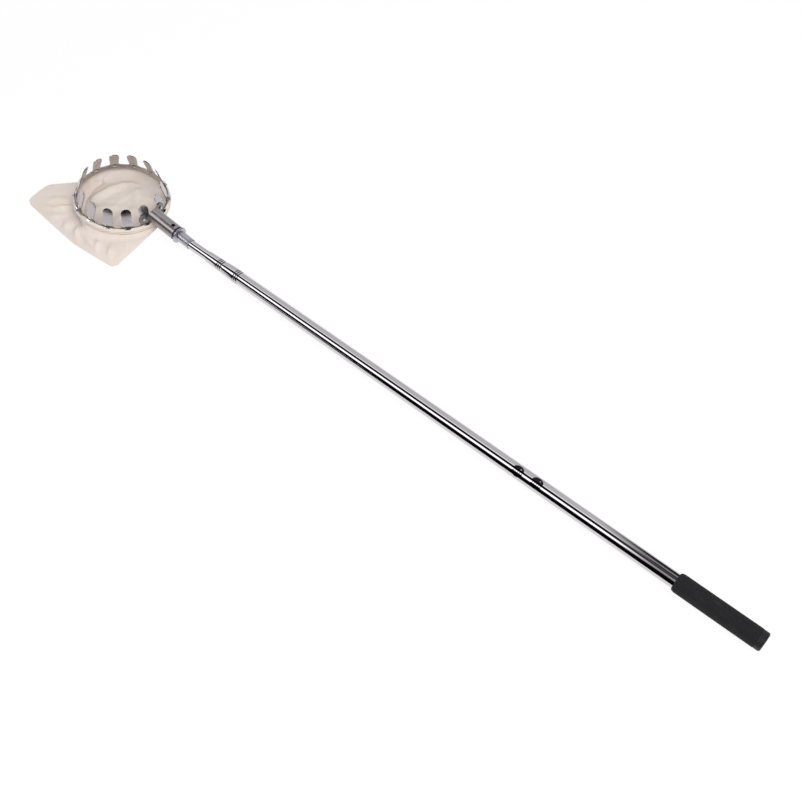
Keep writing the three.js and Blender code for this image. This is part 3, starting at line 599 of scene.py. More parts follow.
def rod(radius, start, end, place, segments=32):
    """Solid round bar along the X of its place."""
    mesh = turned([(start, 0), (start, radius), (end, radius), (end, 0)], segments)
    mesh.transform(place)
    return mesh


def drilled(mesh, side):
    """The mesh with the hole for one of the rivets."""
    return cut(mesh, rod(RIVET_HOLE_R, -6 * MM, 6 * MM, rivet_place(side)))


def quads(work, grid):
    """Faces between neighbouring rows and columns of a grid of vertices."""
    for a, b in zip(grid, grid[1:]):
        for j in range(len(a) - 1):
            work.faces.new([a[j], a[j + 1], b[j + 1], b[j]])


def grid_plate(rows):
    """Closed plate from rows of (outer, inner) point pairs."""
    work = bmesh.new()
    sides = [[[work.verts.new(pair[s]) for pair in row] for row in rows] for s in (0, 1)]
    last_row, last = len(rows) - 1, len(rows[0]) - 1
    outer, inner = sides
    quads(work, outer)
    quads(work, inner)
    for i in range(last_row):
        for j in (0, last):
            work.faces.new([outer[i][j], outer[i + 1][j], inner[i + 1][j], inner[i][j]])
    for j in range(last):
        for i in (0, last_row):
            work.faces.new([outer[i][j], outer[i][j + 1], inner[i][j + 1], inner[i][j]])
    bmesh.ops.remove_doubles(work, verts=work.verts, dist=SHEET * 1e-4)
    bmesh.ops.recalc_face_normals(work, faces=work.faces)
    return as_mesh(work)


EAR_R, EAR_GAP = 8.6 * MM, 0.3 * MM


def ear(side):
    """Flap of the socket's sheet that lies on the petal beside it, round about its rivet."""
    petal_y = outer_face(EAR_U)[0] * sin(ear_angle(side)) + RING_ASIDE
    reach = abs(petal_y) / cos(ear_angle(side)) - 4 * MM
    rows = []
    for k in range(33):
        turn = pi * (k / 32 - 0.5)
        u = EAR_U + EAR_R * sin(turn)
        row = []
        for j in range(17):
            share = j / 16
            w = -side * reach * (1 - share)
            w += share * (side * EAR_R * cos(turn) + RIVET_ASIDE)
            outs = (EAR_GAP + SHEET, EAR_GAP)
            row.append([on_strip(ear_angle(side), w, u, out) for out in outs])
        rows.append(row)
    return drilled(grid_plate(rows), side)


BUTT_TURN, BUTT_START, BUTT_RUN, BUTT_GAP = radians(27), 13.3 * MM, 88 * MM, 0.8 * MM
SCREW_HOLE_R, SCREW_HOLE_X = 3.3 * MM, SLEEVE_REAR - 8.5 * MM
SLEEVE_BORE, SLEEVE_START = SLEEVE_R - SLEEVE_WALL, RING_X + 20 * MM
sleeve_line = [
    (SLEEVE_START, SLEEVE_R),
    (SLEEVE_REAR - 0.3 * MM, SLEEVE_R),
    (SLEEVE_REAR, SLEEVE_R - 0.3 * MM),
    (SLEEVE_REAR, SLEEVE_BORE + 0.2 * MM),
    (SLEEVE_REAR - 0.2 * MM, SLEEVE_BORE),
    (SLEEVE_START, SLEEVE_BORE),
]
sleeve = turned(sleeve_line, 128)
ring_line = [outer_face(STRIP * k / 60) for k in range(61)]
envelope_line = [(z, r + EAR_GAP) for r, z in ring_line]
envelope = turned([(BAND_FOOT, 0), *envelope_line, (ring_line[-1][1], 0)], 256)
quarter_up = Matrix.Rotation(radians(-90), 4, "Y")
ring_axis = ring_aside @ quarter_up
envelope.transform(ring_axis)
front = rod(RING_R + 1.6 * MM, 0, SLEEVE_R + 2 * MM, ring_axis, 256)
sleeve = cut(cut(sleeve, envelope), front)
for side in (-1, 1):
    flap = ear(side)
    flap.transform(ring_aside)
    sleeve = cut(sleeve, flap, "UNION")
sleeve = cut(sleeve, rod(SLEEVE_BORE, RING_X, SLEEVE_REAR + 1 * MM, Matrix(), 128))
butt_middle = Matrix.Translation((SLEEVE_REAR - BUTT_START - BUTT_RUN / 2, 0, SLEEVE_R))
butt_place = Matrix.Rotation(BUTT_TURN, 4, "X") @ butt_middle
sleeve = cut(sleeve, block((BUTT_RUN, BUTT_GAP, 4 * MM), butt_place))
hole_place = Matrix.Translation((SCREW_HOLE_X, 0, 0)) @ quarter_up
sleeve = cut(sleeve, rod(SCREW_HOLE_R, 8 * MM, 16 * MM, hole_place, 40))
rolled_steel = polished_steel("rolled_steel", (0.35, 0.32, 0.325), (0.44, 0.41, 0.415), 0.34)
new_piece(
    "rolled_socket", sleeve, "head", "socket_sleeve", rolled_steel, rolled_place
)

# ---- rivets: two plain steel rivets, one through each ear and its petal
# Each has a low round head on both sides; the one inside the ring is formed when it is set.
rivet_profile = fillet(
    [
        *at(-SHEET, (-1.9, 0), (-1.9, 2.2), (-1, 3.3), (-0.3, 3.6), (-0.3, 2)),
        *at(SHEET, (0.6, 2), (0.6, 3.6), (1.3, 3.3), (2.2, 2.2), (2.2, 0)),
    ],
    0.5 * MM,
)
for side, node in ((-1, "ear_rivet_near"), (1, "ear_rivet_far")):
    new_piece(
        node.replace("ear_rivet", "round_rivet"), turned(rivet_profile, 40),
        "head", node, turned_steel, ring_place @ rivet_place(side),
    )

# ---- grub screw: hardened steel, blackened, in the round hole of the socket
# It locks the head on the collar's stud. It shows as a dull black disc in the hole: partly
# blackened steel, partly painted shade of the hole.


def black_oxide():
    r = Finish("black_oxide")
    grain = r.noise(900)
    # Near black with almost no specular: partly the blackened steel, partly painted shade of the
    # hole the screw sits in.
    colour = r.blend(grain, (0.002, 0.002, 0.002), (0.006, 0.006, 0.006))
    return r.made(
        grain, 0.1, 0.0002, Base_Color=colour, Roughness=0.9, Specular_IOR_Level=0.05
    )


new_piece(
    "grub_screw", rod(3.2 * MM, 8 * MM, 11.7 * MM, hole_place), "head", "socket_set_screw",
    black_oxide(), rolled_place,
)

# ---- ring: petals and their strip stamped from one steel sheet, formed and closed in a ring
# Each petal leans inwards with a curled round tip. Below it a hook is cut free and bent out.
HOOK_WIDTH, HOLE_FOOT, HOLE_TOP = 6.4 * MM, 3.2 * MM, 10.4 * MM
PETAL_BASE, PETAL_WIDTH = 14.5 * MM, 16.6 * MM
TIP_R = PETAL_WIDTH / 2
SHOULDER = STRIP - TIP_R
GAP_DEPTH = 4 * MM
GAP_TOP = BAND + GAP_DEPTH
WIRE_RING_R = RING_R + 2.75 * MM


def half_width(u):
    """Half the petal's width at a height u up the strip."""
    if u > SHOULDER:
        return math.sqrt(max(0, TIP_R**2 - (u - SHOULDER) ** 2))
    share = ease((u - GAP_TOP) / (SHOULDER - GAP_TOP))
    return (PETAL_BASE + share * (PETAL_WIDTH - PETAL_BASE)) / 2


def round_edges(thing, width, segments):
    rounding = thing.modifiers.new("rounding", "BEVEL")
    rounding.width, rounding.segments = width, segments
    rounding.limit_method, rounding.angle_limit = "ANGLE", radians(50)


def petal_ring():
    """Petals with the holes of their hooks, round gaps between them, and the sheet's wall."""
    rows = [0, 1.2 * MM, 2.4 * MM, HOLE_FOOT, 4.8 * MM, 6.4 * MM, BAND, 9.2 * MM, HOLE_TOP]
    rows += [11.2 * MM, GAP_TOP]
    row_of_gap = len(rows) - 1
    rows += [GAP_TOP + (SHOULDER - GAP_TOP) * k / 12 for k in range(1, 13)]
    tip_turns = [radians(90 * k / 12) for k in range(1, 12)] + [radians(88)]
    rows += [SHOULDER + TIP_R * sin(turn) for turn in tip_turns]
    edge = HOOK_WIDTH / PETAL_BASE
    columns = [-1, -0.86, -0.7, -0.55, -edge, -edge / 2, 0, edge / 2, edge, 0.55, 0.7, 0.86, 1]
    across_gap = [sin(radians(90 * k / 8)) for k in range(-7, 8)]
    work = bmesh.new()
    points = {}

    def point(key, middle, w, u):
        if key not in points:
            points[key] = work.verts.new(on_strip(middle, w, u))
        return points[key]

    for k in range(PETALS):
        middle = ear_angle(1) + k * PETAL_PITCH
        pitch = PETAL_PITCH if k + 1 < PETALS else SOCKET_PITCH
        grid = [
            [point((k, c, i), middle, share * half_width(u), u) for c, share in enumerate(columns)]
            for i, u in enumerate(rows)
        ]
        for i in range(len(rows) - 1):
            for c in range(len(columns) - 1):
                inside = abs(columns[c] + columns[c + 1]) / 2 < edge
                if inside and HOLE_FOOT <= rows[i] < HOLE_TOP:
                    continue
                a, b = grid[i], grid[i + 1]
                work.faces.new([a[c], a[c + 1], b[c + 1], b[c]])
        reach = (pitch * RING_R - PETAL_BASE) / 2
        after = (k + 1) % PETALS
        gap = []
        for i, u in enumerate(rows[: row_of_gap + 1]):
            line = [grid[i][-1]]
            for q in across_gap:
                top = BAND + GAP_DEPTH * (1 - math.sqrt(1 - q * q))
                spot = on_strip(middle + pitch / 2, q * reach, u / GAP_TOP * top)
                line.append(work.verts.new(spot))
            gap.append([*line, point((after, 0, i), middle + pitch, -half_width(u), u)])
        quads(work, gap)
    bmesh.ops.recalc_face_normals(work, faces=work.faces)
    outwards = sum(f.normal.dot(Vector((*f.calc_center_median().xy, 0))) for f in work.faces)
    if outwards < 0:
        bmesh.ops.reverse_faces(work, faces=work.faces)
    strip = as_object("strip", as_mesh(work))
    wall = strip.modifiers.new("wall", "SOLIDIFY")
    wall.thickness, wall.offset, wall.use_even_offset = SHEET, -1, True
    round_edges(strip, 0.3 * MM, 3)
    return drilled(drilled(with_modifiers(strip), -1), 1)


def curve(places, t):
    """Point of the Bezier curve with four control points."""
    a, b, c, d = places
    return a * (1 - t) ** 3 + b * 3 * t * (1 - t) ** 2 + c * 3 * t * t * (1 - t) + d * t**3


def bent_hook():
    """Hook on the petal at angle 0: out of the strip in an arch, and down at its end."""
    arch = ((72.75, -8.8), (72.75, -11.2), (75.2, -10.4), (77.9, -13.1))
    end = ((77.9, -13.1), (78.8, -14.2), (79.3, -15.2), (79.3, -17.4))
    line = []
    for corners in (arch, end):
        corners = [Vector(corner) * MM for corner in corners]
        line += [curve(corners, k / 10) for k in range(len(line) > 0, 11)]
    rows = []
    for i, spot in enumerate(line):
        along = (line[min(i + 1, len(line) - 1)] - line[max(i - 1, 0)]).normalized()
        across = Vector((-along.y, along.x)) * SHEET / 2
        row = []
        for j in range(7):
            y = HOOK_WIDTH * (j / 6 - 0.5)
            outer, inner = spot + across, spot - across
            row.append([Vector((outer.x, y, outer.y)), Vector((inner.x, y, inner.y))])
        rows.append(row)
    hook = as_object("hook", grid_plate(rows))
    round_edges(hook, 0.25 * MM, 2)
    return with_modifiers(hook)


class Layout(Recipe):
    """A Geometry Nodes tree with named inputs, set by their identifiers."""

    def __init__(self, name, inputs):
        tree = bpy.data.node_groups.new(name, "GeometryNodeTree")
        tree.interface.new_socket("Geometry", in_out="INPUT", socket_type="NodeSocketGeometry")
        self.inputs = inputs
        for label, (kind, _) in inputs.items():
            tree.interface.new_socket(label, in_out="INPUT", socket_type="NodeSocket" + kind)
        tree.interface.new_socket("Geometry", in_out="OUTPUT", socket_type="NodeSocketGeometry")
        super().__init__(tree)
        self.given = self.add("NodeGroupInput")

    def made(self, thing, geometry, material):
        """The plain mesh that the tree makes of an object."""
        real = self.add("GeometryNodeRealizeInstances", [geometry])
        self.add("NodeGroupOutput", [self.add("GeometryNodeSetMaterial", [real, None, material])])
        step = thing.modifiers.new("layout", "NODES")
        step.node_group = self.tree
        for item in self.tree.interface.items_tree:
            if item.in_out == "INPUT" and item.name in self.inputs:
                step[item.identifier] = self.inputs[item.name][1]
        return with_modifiers(thing)


def stamped_steel():
    """Bright plated sheet: a soft mirror with press marks and a duller, warmer bloom."""
    r = Finish("stamped_steel")
    waves = r.noise(55)
    grain = r.noise(1100, 3.0)
    marks = r.step(r.noise(220, 4.0, (1, 1, 0.25)), 0.62, 0.7)
    bloom = r.noise(28, 3.0)
    colour = r.blend(bloom, (0.46, 0.42, 0.42), (0.57, 0.54, 0.55))
    colour = r.blend(marks * 0.35, colour, (0.27, 0.24, 0.23))
    return r.made(
        waves * 0.9 + grain * 0.04, 0.12, 0.0012,
        Base_Color=colour, Roughness=0.14 + bloom * 0.1 + marks * 0.12, Metallic=1.0,
    )


hooks = Layout(
    "hooks_round_the_ring",
    {
        "Count": ("Int", PETALS),
        "First turn": ("Float", ear_angle(1)),
        "Turn between": ("Float", PETAL_PITCH),
    },
)
places = hooks.add("GeometryNodePoints", sockets={"Count": hooks.given["Count"]})
number = hooks.add("GeometryNodeInputIndex")
turn = hooks.given["First turn"] + number * hooks.given["Turn between"]
turns = hooks.add("ShaderNodeCombineXYZ", sockets={"Z": turn})
copies = hooks.add(
    "GeometryNodeInstanceOnPoints",
    sockets={"Points": places, "Instance": hooks.given["Geometry"], "Rotation": turns},
)
# The hooks are cut from the petals' sheet but get a much brighter copy of polished steel: painted
# highlight on their bends.
highlight_hook_steel = polished_steel("bent_steel", (0.82, 0.80, 0.81), (0.88, 0.87, 0.87), 0.04)
hook_mesh = hooks.made(as_object("hooks", bent_hook()), copies, highlight_hook_steel)
ring = new_piece(
    "petal_ring", petal_ring(), "head", "picking_ring", stamped_steel(), ring_place
)
new_piece("ring_hooks", hook_mesh, "head", None, highlight_hook_steel, ring_place)

# ---- bag: unbleached cotton, its hem sewn round a wire ring that the hooks hold
# It lies empty: the top layer falls from the hem and folds under at the bag's edge. Each hook
# enters the hem through a slit in its inner side, so only the hook's bend shows.
CLOTH = 0.7 * MM
# The hem's outline as (radius, height) in mm from the ring's middle, from its inner edge out.
HEM_BETWEEN = (
    (73.9, -17.5), (73.9, -15.5), (74, -13.9), (74.4, -12.7), (75.3, -11.9), (76.5, -11.5),
    (77.3, -11.45), (78.3, -11.8), (79.2, -12.5), (79.9, -13.5), (80.2, -14.4), (79.9, -15.1),
    (80.4, -15.9), (80.6, -17.4), (80.4, -18.9), (79.8, -19.9), (79.9, -20.8),
)
HEM_AT_HOOK = (
    (73.9, -17.5), (73.9, -16.2), (74.1, -15.3), (75, -14.8), (76.4, -14.6), (77.6, -14.9),
    (78.5, -12.2), (79.3, -12.5), (80, -13.1), (80.5, -13.8), (80.7, -14.6), (80.6, -15.2),
    (80.8, -15.9), (80.9, -17.4), (80.6, -18.9), (80, -19.9), (80, -20.8),
)
SLIT_ROW, SEAM_ROWS = 5, (11, 15)
HEM_FOOT_R, HEM_FOOT_Z = 79.9 * MM, -20.8
HEM_HIGH, HEM_SQUASH = radians(-30), 0.62
HEM_CORE_R, HEM_NARROW = 75, 0.25
BAG_COLUMNS = 480
# Corners of the empty bag as (x, y, radius) in mm from the middle of the ring's foot.
BAG_CORNERS = (
    (-117, -86, 16), (-114, -61, 21), (5, -93, 19.5), (86, -96, 10), (70, -5, 14), (0, 0, 62),
)
# Folds as (height in mm, half width in mm, places in mm from the middle of the ring's foot).
TOP_FOLDS = (
    (-5, 3, ((-96, -83), (-83, -78), (-74, -70.5), (-67, -61), (-61, -51))),
    (4.6, 5, ((-93, -88), (-80, -82), (-71, -74), (-63, -65), (-57, -56))),
    (3.6, 6, ((-104, -74), (-90, -66), (-78, -56))),
    (4.6, 6, ((-40, -88), (-32, -98), (-24, -108))),
    (4.8, 5, ((2, -88), (20, -94), (42, -100))),
    (4.4, 5, ((60, -76), (68, -86), (78, -98))),
    (4, 4, ((34, -84), (44, -92), (54, -106))),
    (2, 7, ((-118, -70), (-108, -56), (-92, -42))),
    (4, 5, ((-58, -86), (-66, -96), (-80, -101))),
    (3.6, 4, ((-14, -86), (-6, -96), (6, -106))),
)
FLOOR_FOLDS = (
    (7, 8, ((-52, -30), (-46, -12), (-44, 8), (-38, 28), (-28, 42))),
    (-3, 7, ((-60, -28), (-57, -13), (-55, 5), (-49, 22))),
    (4.2, 9, ((-36, -56), (-16, -30), (4, -8))),
    (4.2, 8, ((30, -50), (22, -24), (26, 6))),
    (4, 9, ((-22, 40), (2, 30), (34, 34))),
)
ring_foot = ring_place @ Vector((0, 0, BAND_FOOT))
down_ring = (ring_place.to_3x3() @ Vector((0, 0, -1))).normalized()


def outline_at(angle):
    """From the ring's middle to the edge of the empty bag on the ground."""
    reach = math.inf
    for k in range(-44, 45):
        turn = radians(2 * k)
        x, y = cos(angle + turn), sin(angle + turn)
        support = max(cx * x + cy * y + r for cx, cy, r in BAG_CORNERS)
        reach = min(reach, support / cos(turn))
    return reach * MM


def wander(spot, size, seed):
    """Soft unevenness of the cloth as a height between about -1 and 1."""
    place = Vector((spot.x / size, spot.y / size, seed))
    return noise.noise(place) + 0.45 * noise.noise(place * 2.3 + Vector((7, 3, 1)))


def fold_height(spot, folds):
    """Height that the drawn folds add at a place on the ground."""
    here = Vector((spot.x - ring_foot.x, spot.y - ring_foot.y)) / MM
    total = 0
    for height, half, places in folds:
        nearest, share = math.inf, 0
        for k, (start, end) in enumerate(zip(places, places[1:])):
            start, along = Vector(start), Vector(end) - Vector(start)
            t = min(max((here - start).dot(along) / along.length_squared, 0), 1)
            far = (here - start - along * t).length
            if far < nearest:
                nearest, share = far, (k + t) / (len(places) - 1)
        fade = 0.35 + 0.65 * sin(pi * min(max(share, 0.02), 0.98))
        total += height * fade * math.exp(-((nearest / half) ** 2))
    return total * MM


def lowered(angle):
    """0 where the hem stands beside the band, 1 on the far side, where it hangs below."""
    away = abs((angle - HEM_HIGH + pi) % (2 * pi) - pi)
    return ease((math.degrees(away) - 58) / 18)


def on_ground(angle, r, z):
    """The place at an angle and a radius round the ring's foot, z above the ground."""
    return Vector((ring_foot.x, ring_foot.y, 0)) + round_axis(angle, r, z)


def from_hook(angle):
    """Distance along the hem from the middle of the nearest hook."""
    turn = (angle - ear_angle(1)) % (2 * pi)
    last = (PETALS - 1) * PETAL_PITCH
    if turn > last:
        return min(turn - last, 2 * pi - turn) * WIRE_RING_R
    return abs(turn - round(turn / PETAL_PITCH) * PETAL_PITCH) * WIRE_RING_R


WALL_ROWS, TOP_ROWS, EDGE_ROWS, UNDER_ROWS, FLOOR_ROWS = 12, 26, 4, 4, 26
INSIDE_R, TOP_Z, EDGE_R = 66 * MM, 1.8 * MM, 1.1 * MM


def folded_under(angle, start, edge):
    """Wall, top layer, fold at the bag's edge, lower layer, floor inside."""
    outward = on_ground(angle, 1, 0) - on_ground(angle, 0, 0)
    low = lowered(angle)
    foot_r = min(edge - 2.5 * MM, HEM_FOOT_R + 9 * MM - 24 * MM * low)
    breadth = min(1, (edge - foot_r) / (30 * MM))
    tent = max(0, start.z * 0.62 - TOP_Z) * breadth * (1 - low)
    foot = on_ground(angle, foot_r, min(TOP_Z + tent, (start.z + 1.6 * MM) / 2 + tent / 2))
    drop = start.z - foot.z
    bend = (
        start,
        start + (down_ring * 0.4 + outward * 0.2 * (1 - low)) * drop,
        foot - outward * (foot_r - HEM_FOOT_R) * 0.4 + down_ring * -0.15 * drop * (1 - low),
        foot,
    )
    line = []
    for k in range(1, WALL_ROWS + 1):
        t = k / WALL_ROWS
        spot = curve(bend, t)
        wave = noise.noise(round_axis(angle, 7.5, 2 + t))
        swing = sin(pi * min(t * 1.1, 1)) * min(drop / (8 * MM), 1)
        spot += outward * wave * 2 * MM * swing
        line.append(spot)
    fold_r = edge - EDGE_R
    for k in range(1, TOP_ROWS + 1):
        t = k / TOP_ROWS
        z = foot.z + (TOP_Z - foot.z) * (1.4 * t - 0.4 * t * t)
        spot = on_ground(angle, foot_r + (fold_r - foot_r) * t, z)
        loft = (4 * t * (1 - t)) ** 1.2 * breadth
        raised = 2.6 * MM + wander(spot, 34 * MM, 0.3) * 1.8 * MM + fold_height(spot, TOP_FOLDS)
        spot.z += max(0, raised) * loft + wander(spot, 11 * MM, 4.1) * 0.3 * MM * loft
        line.append(spot)
    for k in range(1, EDGE_ROWS + 1):
        turn = pi * k / (EDGE_ROWS + 1)
        z = (0.95 + 0.85 * cos(turn)) * MM
        line.append(on_ground(angle, fold_r + EDGE_R * sin(turn), z))
    for k in range(UNDER_ROWS):
        r = fold_r + (INSIDE_R - fold_r) * (k + 1) / UNDER_ROWS
        line.append(on_ground(angle, r, 0.05 * MM))
    return line


def sloping_in(angle, start, edge):
    """Wall that slopes in under the ring and runs on as the floor, without a fold."""
    low_r = min(edge, 62 * MM)
    bend = (
        start,
        start + down_ring * start.z * 0.6,
        on_ground(angle, low_r + 9 * MM, 0.9 * MM),
        on_ground(angle, low_r - 4 * MM, 0.3 * MM),
    )
    rows = WALL_ROWS + TOP_ROWS + EDGE_ROWS + UNDER_ROWS
    return [curve(bend, k / rows) for k in range(1, rows + 1)]


def bag_line(angle):
    """Points down the cloth at one angle, from inside the hem to the middle of the floor."""
    line = []
    far = from_hook(angle)
    low = lowered(angle)
    at_hook = (1 - ease((far - 4.0 * MM) / (1.6 * MM))) * (1 - low)
    for i, ((ra, za), (rb, zb)) in enumerate(zip(HEM_BETWEEN, HEM_AT_HOOK)):
        r, z = ra + (rb - ra) * at_hook, za + (zb - za) * at_hook
        z = HEM_FOOT_Z + (z - HEM_FOOT_Z) * (1 - HEM_SQUASH * low)
        r -= low * HEM_NARROW * max(0, r - HEM_CORE_R)
        pucker = noise.noise(round_axis(angle, 14, i / 5))
        pull = pucker * 0.45 * min(1, max(0, (i - 6) / 3)) * (1 - 0.8 * at_hook)
        r, z = (r + pull) * MM, (z + pucker * 0.15 * (1 - at_hook)) * MM
        line.append(ring_place @ round_axis(angle, r, z))
    start, edge = line[-1], outline_at(angle)
    open_share = ease((edge - INSIDE_R) / (13 * MM))
    folded, sloping = folded_under(angle, start, edge), sloping_in(angle, start, edge)
    line += [a.lerp(b, open_share) for a, b in zip(sloping, folded)]
    inner, rim_z = (line[-1] - on_ground(angle, 0, line[-1].z)).length, line[-1].z
    for k in range(1, FLOOR_ROWS + 1):
        t = k / (FLOOR_ROWS + 1)
        spot = on_ground(angle, inner * (1 - t), rim_z * (1 - t) ** 4)
        lift = 1.6 * MM + wander(spot, 26 * MM, 8.7) * 1.8 * MM + fold_height(spot, FLOOR_FOLDS)
        ripple = (wander(spot, 10 * MM, 1.9) + 0.8) * 0.25 * MM
        spot.z += max(0.1 * MM, lift) * ease(t * 5) + ripple * t
        line.append(spot)
    return line


def woven_cotton():
    """Plain weave of cream cotton, yellower where it is soiled, darker at slubs; painted shade
    turns the folds' valleys yellow-brown and darkens the hem's two seam lines.
    """
    r = Finish("woven_cotton")
    wander = r.noise(130)
    spot = r.parts(r.place)
    threads = 2 * pi / (0.62 * MM)
    warp = (spot["X"] * threads + wander * 5).math("SINE")
    weft = (spot["Y"] * threads + wander * 5).math("SINE")
    over = r.step(warp * weft, -0.2, 0.2)
    weave = over * warp.math("ABSOLUTE") + (1 - over) * weft.math("ABSOLUTE")
    slubs = r.step(r.noise(320, 2.0, (1, 0.08, 1)), 0.62, 0.75)
    fluff = r.noise(1800)
    soiled = r.noise(22, 4.0)
    colour = r.blend(r.step(soiled, 0.35, 0.75), (0.70, 0.625, 0.58), (0.665, 0.58, 0.51))
    down = r.parts(r.add("ShaderNodeUVMap", uv_map="rows"))
    crease_shade, row = down["X"], down["Y"]
    # Darker along the hem's two seam lines, where its outline dips in: partly the seam, partly
    # painted shade in the groove.
    seam_shades = [r.step((row - seam).math("ABSOLUTE"), 0.7, 0.2) for seam in SEAM_ROWS]
    # Painted shade: the cloth turns yellow-brown in the valleys of the folds, by their depth
    # carried in the X of the rows map.
    colour = r.blend(r.step(crease_shade, 0, 1) * 0.7, colour, (0.66, 0.55, 0.37))
    shade = (1 - weave) * 0.12 + slubs * 0.08 + seam_shades[0] * 0.6 + seam_shades[1] * 0.75
    colour = r.blend(shade, colour, (0.36, 0.30, 0.23))
    return r.made(
        weave * 0.6 + slubs * 0.3 + fluff * 0.3, 0.4, 0.0004,
        Base_Color=colour, Roughness=0.92, Sheen_Weight=0.12, Sheen_Roughness=0.5,
    )


work = bmesh.new()
rows_map = work.loops.layers.uv.new("rows")
lines = []
for k in range(BAG_COLUMNS):
    lines.append([work.verts.new(spot) for spot in bag_line(2 * pi * k / BAG_COLUMNS)])
centre_lift = sum(line[-1].co.z for line in lines) / BAG_COLUMNS
hub = work.verts.new((ring_foot.x, ring_foot.y, centre_lift))
WALL_FOOT = len(HEM_BETWEEN) + WALL_ROWS
# Depth of each point in a fold's valley, which the cotton turns into painted shade.
painted_crease_shades = {}
for line in lines:
    for i, vertex in enumerate(line):
        depth = fold_height(vertex.co, TOP_FOLDS + FLOOR_FOLDS) if i > WALL_FOOT else 0
        painted_crease_shades[vertex] = min(max(-depth / (2.5 * MM), 0), 1)
for k, line in enumerate(lines):
    beside = lines[(k + 1) % BAG_COLUMNS]
    middle = 2 * pi * (k + 0.5) / BAG_COLUMNS
    slit = from_hook(middle) < HOOK_WIDTH / 2 + 0.5 * MM and lowered(middle) < 0.5
    for i in range(len(line) - 1):
        if slit and i == SLIT_ROW:
            continue
        face = work.faces.new([line[i], line[i + 1], beside[i + 1], beside[i]])
        for loop, row in zip(face.loops, (i, i + 1, i + 1, i)):
            loop[rows_map].uv = (painted_crease_shades[loop.vert], row)
    face = work.faces.new([line[-1], hub, beside[-1]])
    for loop in face.loops:
        loop[rows_map].uv = (0, len(line))
bmesh.ops.recalc_face_normals(work, faces=work.faces)
lowest = min(work.faces, key=lambda face: face.calc_center_median().z)
if lowest.normal.z > 0:
    bmesh.ops.reverse_faces(work, faces=work.faces)
bag = as_object("bag", as_mesh(work))
cloth = bag.modifiers.new("cloth", "SOLIDIFY")
cloth.thickness, cloth.offset = CLOTH, -1
bag = new_piece("cotton_bag", with_modifiers(bag), "head", "cloth_bag", woven_cotton())

# The hem's seam is a lockstitch in cotton thread, just below the wire. Each stitch is a short
# round bar, and the bars lie end to end along a circle.
STITCHES_Z = -20 * MM
r = Finish("cotton_thread")
twist = r.noise(2500)
colour = r.blend(twist, (0.62, 0.54, 0.43), (0.80, 0.73, 0.63))
thread = r.made(twist, 0.3, 0.0002, Base_Color=colour, Roughness=0.8)
seam = Layout(
    "hem_stitches",
    {
        "Radius": ("Float", 79.75 * MM),
        "Stitches": ("Int", 150),
        "Thread": ("Float", 0.32 * MM),
        "Length": ("Float", 2.3 * MM),
    },
)
given = seam.given
circle = seam.add("GeometryNodeCurvePrimitiveCircle", sockets={"Radius": given["Radius"]})
even = seam.add("GeometryNodeResampleCurve", sockets={"Curve": circle, "Count": given["Stitches"]})
along = seam.add("GeometryNodeInputTangent")
turns = seam.add("FunctionNodeAlignRotationToVector", axis="Z", sockets={"Vector": along})
sizes = {"Vertices": 6, "Side Segments": 1, "Radius": given["Thread"], "Depth": given["Length"]}
bar = seam.add("GeometryNodeMeshCylinder", sockets=sizes)
copies = seam.add(
    "GeometryNodeInstanceOnPoints", sockets={"Points": even, "Instance": bar, "Rotation": turns}
)
stitch_mesh = seam.made(as_object("stitches", bpy.data.meshes.new("stitches")), copies, thread)
stitches = new_piece(
    "hem_stitches", stitch_mesh, "head", None, thread,
    ring_place @ Matrix.Translation((0, 0, STITCHES_Z)),
)

# ---- studio: pale floor, even light, and cards that the polished tubes mirror
# The camera looks down on the floor. The cards stand round the object, with a black one flat
# beside the pole, and show only in metal.
scene.view_settings.view_transform = "Standard"
FLOOR_GLOW = 0.92


def seen_directly(r):
    """1 for rays from the camera, off metal or through glass."""
    rays = r.add("ShaderNodeLightPath")
    total = rays["Is Camera Ray"] + rays["Is Glossy Ray"] + rays["Is Transmission Ray"]
    return total.math("MINIMUM", 1.0)


def floor_card():
    """Pale floor that keeps the object's shadow under its glow."""
    r = Finish("pale_floor")
    own = r.add("ShaderNodeBsdfDiffuse", sockets={"Color": (0.9, 0.9, 0.9, 1)})
    glow = r.add("ShaderNodeEmission", sockets={"Color": (1, 1, 1, 1), "Strength": 1.0})
    mixed = r.add("ShaderNodeMixShader", [seen_directly(r) * FLOOR_GLOW, own, glow])
    r.add("ShaderNodeOutputMaterial", [mixed])
    mesh = bpy.data.meshes.new("floor")
    corners = [(x, y, -0.3 * MM) for x, y in ((-9, -9), (9, -9), (9, 9), (-9, 9))]
    mesh.from_pydata(corners, [], [(0, 1, 2, 3)])
    coat(mesh, r.material)
    return as_object("floor", mesh)


CARD_R, CARD_STEPS = 3, 48
BLACK_CARD = ((0.03, -0.38), (-1.6, -2.9), (13, -2.9), (13, -0.055), (0.03, -0.055))


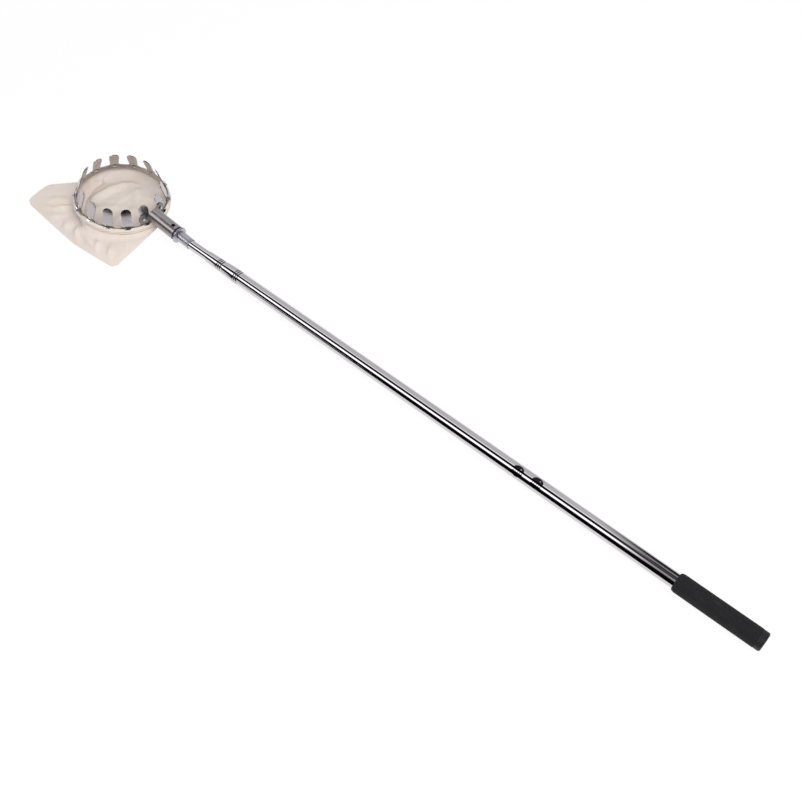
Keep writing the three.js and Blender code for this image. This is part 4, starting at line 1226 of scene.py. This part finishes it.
def reflector_cards():
    """Half round of grey, black and bright cards over the pole, by their angle about it.

    Each ramp holds (degrees from the far side over the top, strength): bright beyond the head,
    dim beyond the grip.
    """
    r = Finish("reflector_cards")
    spot = r.parts(r.place)
    angle = spot["Z"].math("ARCTAN2", spot["Y"]) * (1 / pi)
    bright = (
        (0, 0.30), (8, 0.62), (29, 0.72), (50, 0.70), (60, 0.68), (68, 0.80), (76, 1.50),
        (81, 0.95), (84, 0.06), (89, 0.008), (106, 0.004), (112, 0.03), (115, 0.40),
        (118, 1.90), (133, 2.40), (139, 1.70), (143, 0.60), (146, 0.01), (149, 0.002),
        (180, 0.002),
    )
    dim = (
        (0, 0.03), (6, 0.01), (22, 0.008), (33, 0.02), (40, 0.09), (49, 0.12), (56, 0.24),
        (61, 0.70), (66, 0.10), (72, 0.02), (80, 0.03), (92, 0.12), (99, 0.07), (106, 0.04),
        (113, 0.10), (118, 0.60), (125, 0.38), (132, 0.42), (138, 0.12), (143, 0.02),
        (150, 0.003), (180, 0.003),
    )
    looks = []
    for row in (bright, dim):
        ramp = [(turn / 180, (glow, glow * 0.975, glow)) for turn, glow in row]
        looks.append(r.add("ShaderNodeValToRGB", [angle], ramp))
    far = r.step(spot["X"], 0.02 + pole_start.x, 0.46 + pole_start.x)
    glow = r.add("ShaderNodeEmission", [r.blend(far, *looks), 1.0])
    r.add("ShaderNodeOutputMaterial", [glow])
    work = bmesh.new()
    rows = []
    for k in range(CARD_STEPS + 1):
        turn = pi * k / CARD_STEPS
        y, z = CARD_R * cos(turn), CARD_R * sin(turn)
        rows.append([work.verts.new((x, y, z)) for x in (-14, 14)])
    quads(work, rows)
    work.faces.new([work.verts.new((x + pole_start.x, y, 0.5 * MM)) for x, y in BLACK_CARD])
    mesh = as_mesh(work)
    coat(mesh, r.material)
    cards = as_object("cards", mesh)
    cards.location.y = pole_y
    cards.visible_camera = cards.visible_diffuse = cards.visible_shadow = False
    cards.visible_transmission = False
    return cards


floor_card()
reflector_cards()

world = bpy.data.worlds.new("studio")
world.use_nodes = True
r = Recipe(world.node_tree)
strength = 0.6 + seen_directly(r) * 0.4
r.add("ShaderNodeOutputWorld", [r.add("ShaderNodeBackground", [(1, 1, 1, 1), strength])])
scene.world = world

# A square softbox beside the camera lights the inside of the ring and the bag.
key = bpy.data.lights.new("key", "AREA")
key.size, key.energy = 2.2, 68
lamp = as_object("key", key)
lamp.location = (1.2, -0.35, 2.2)
aim(lamp, Vector())
lamp.visible_glossy = False
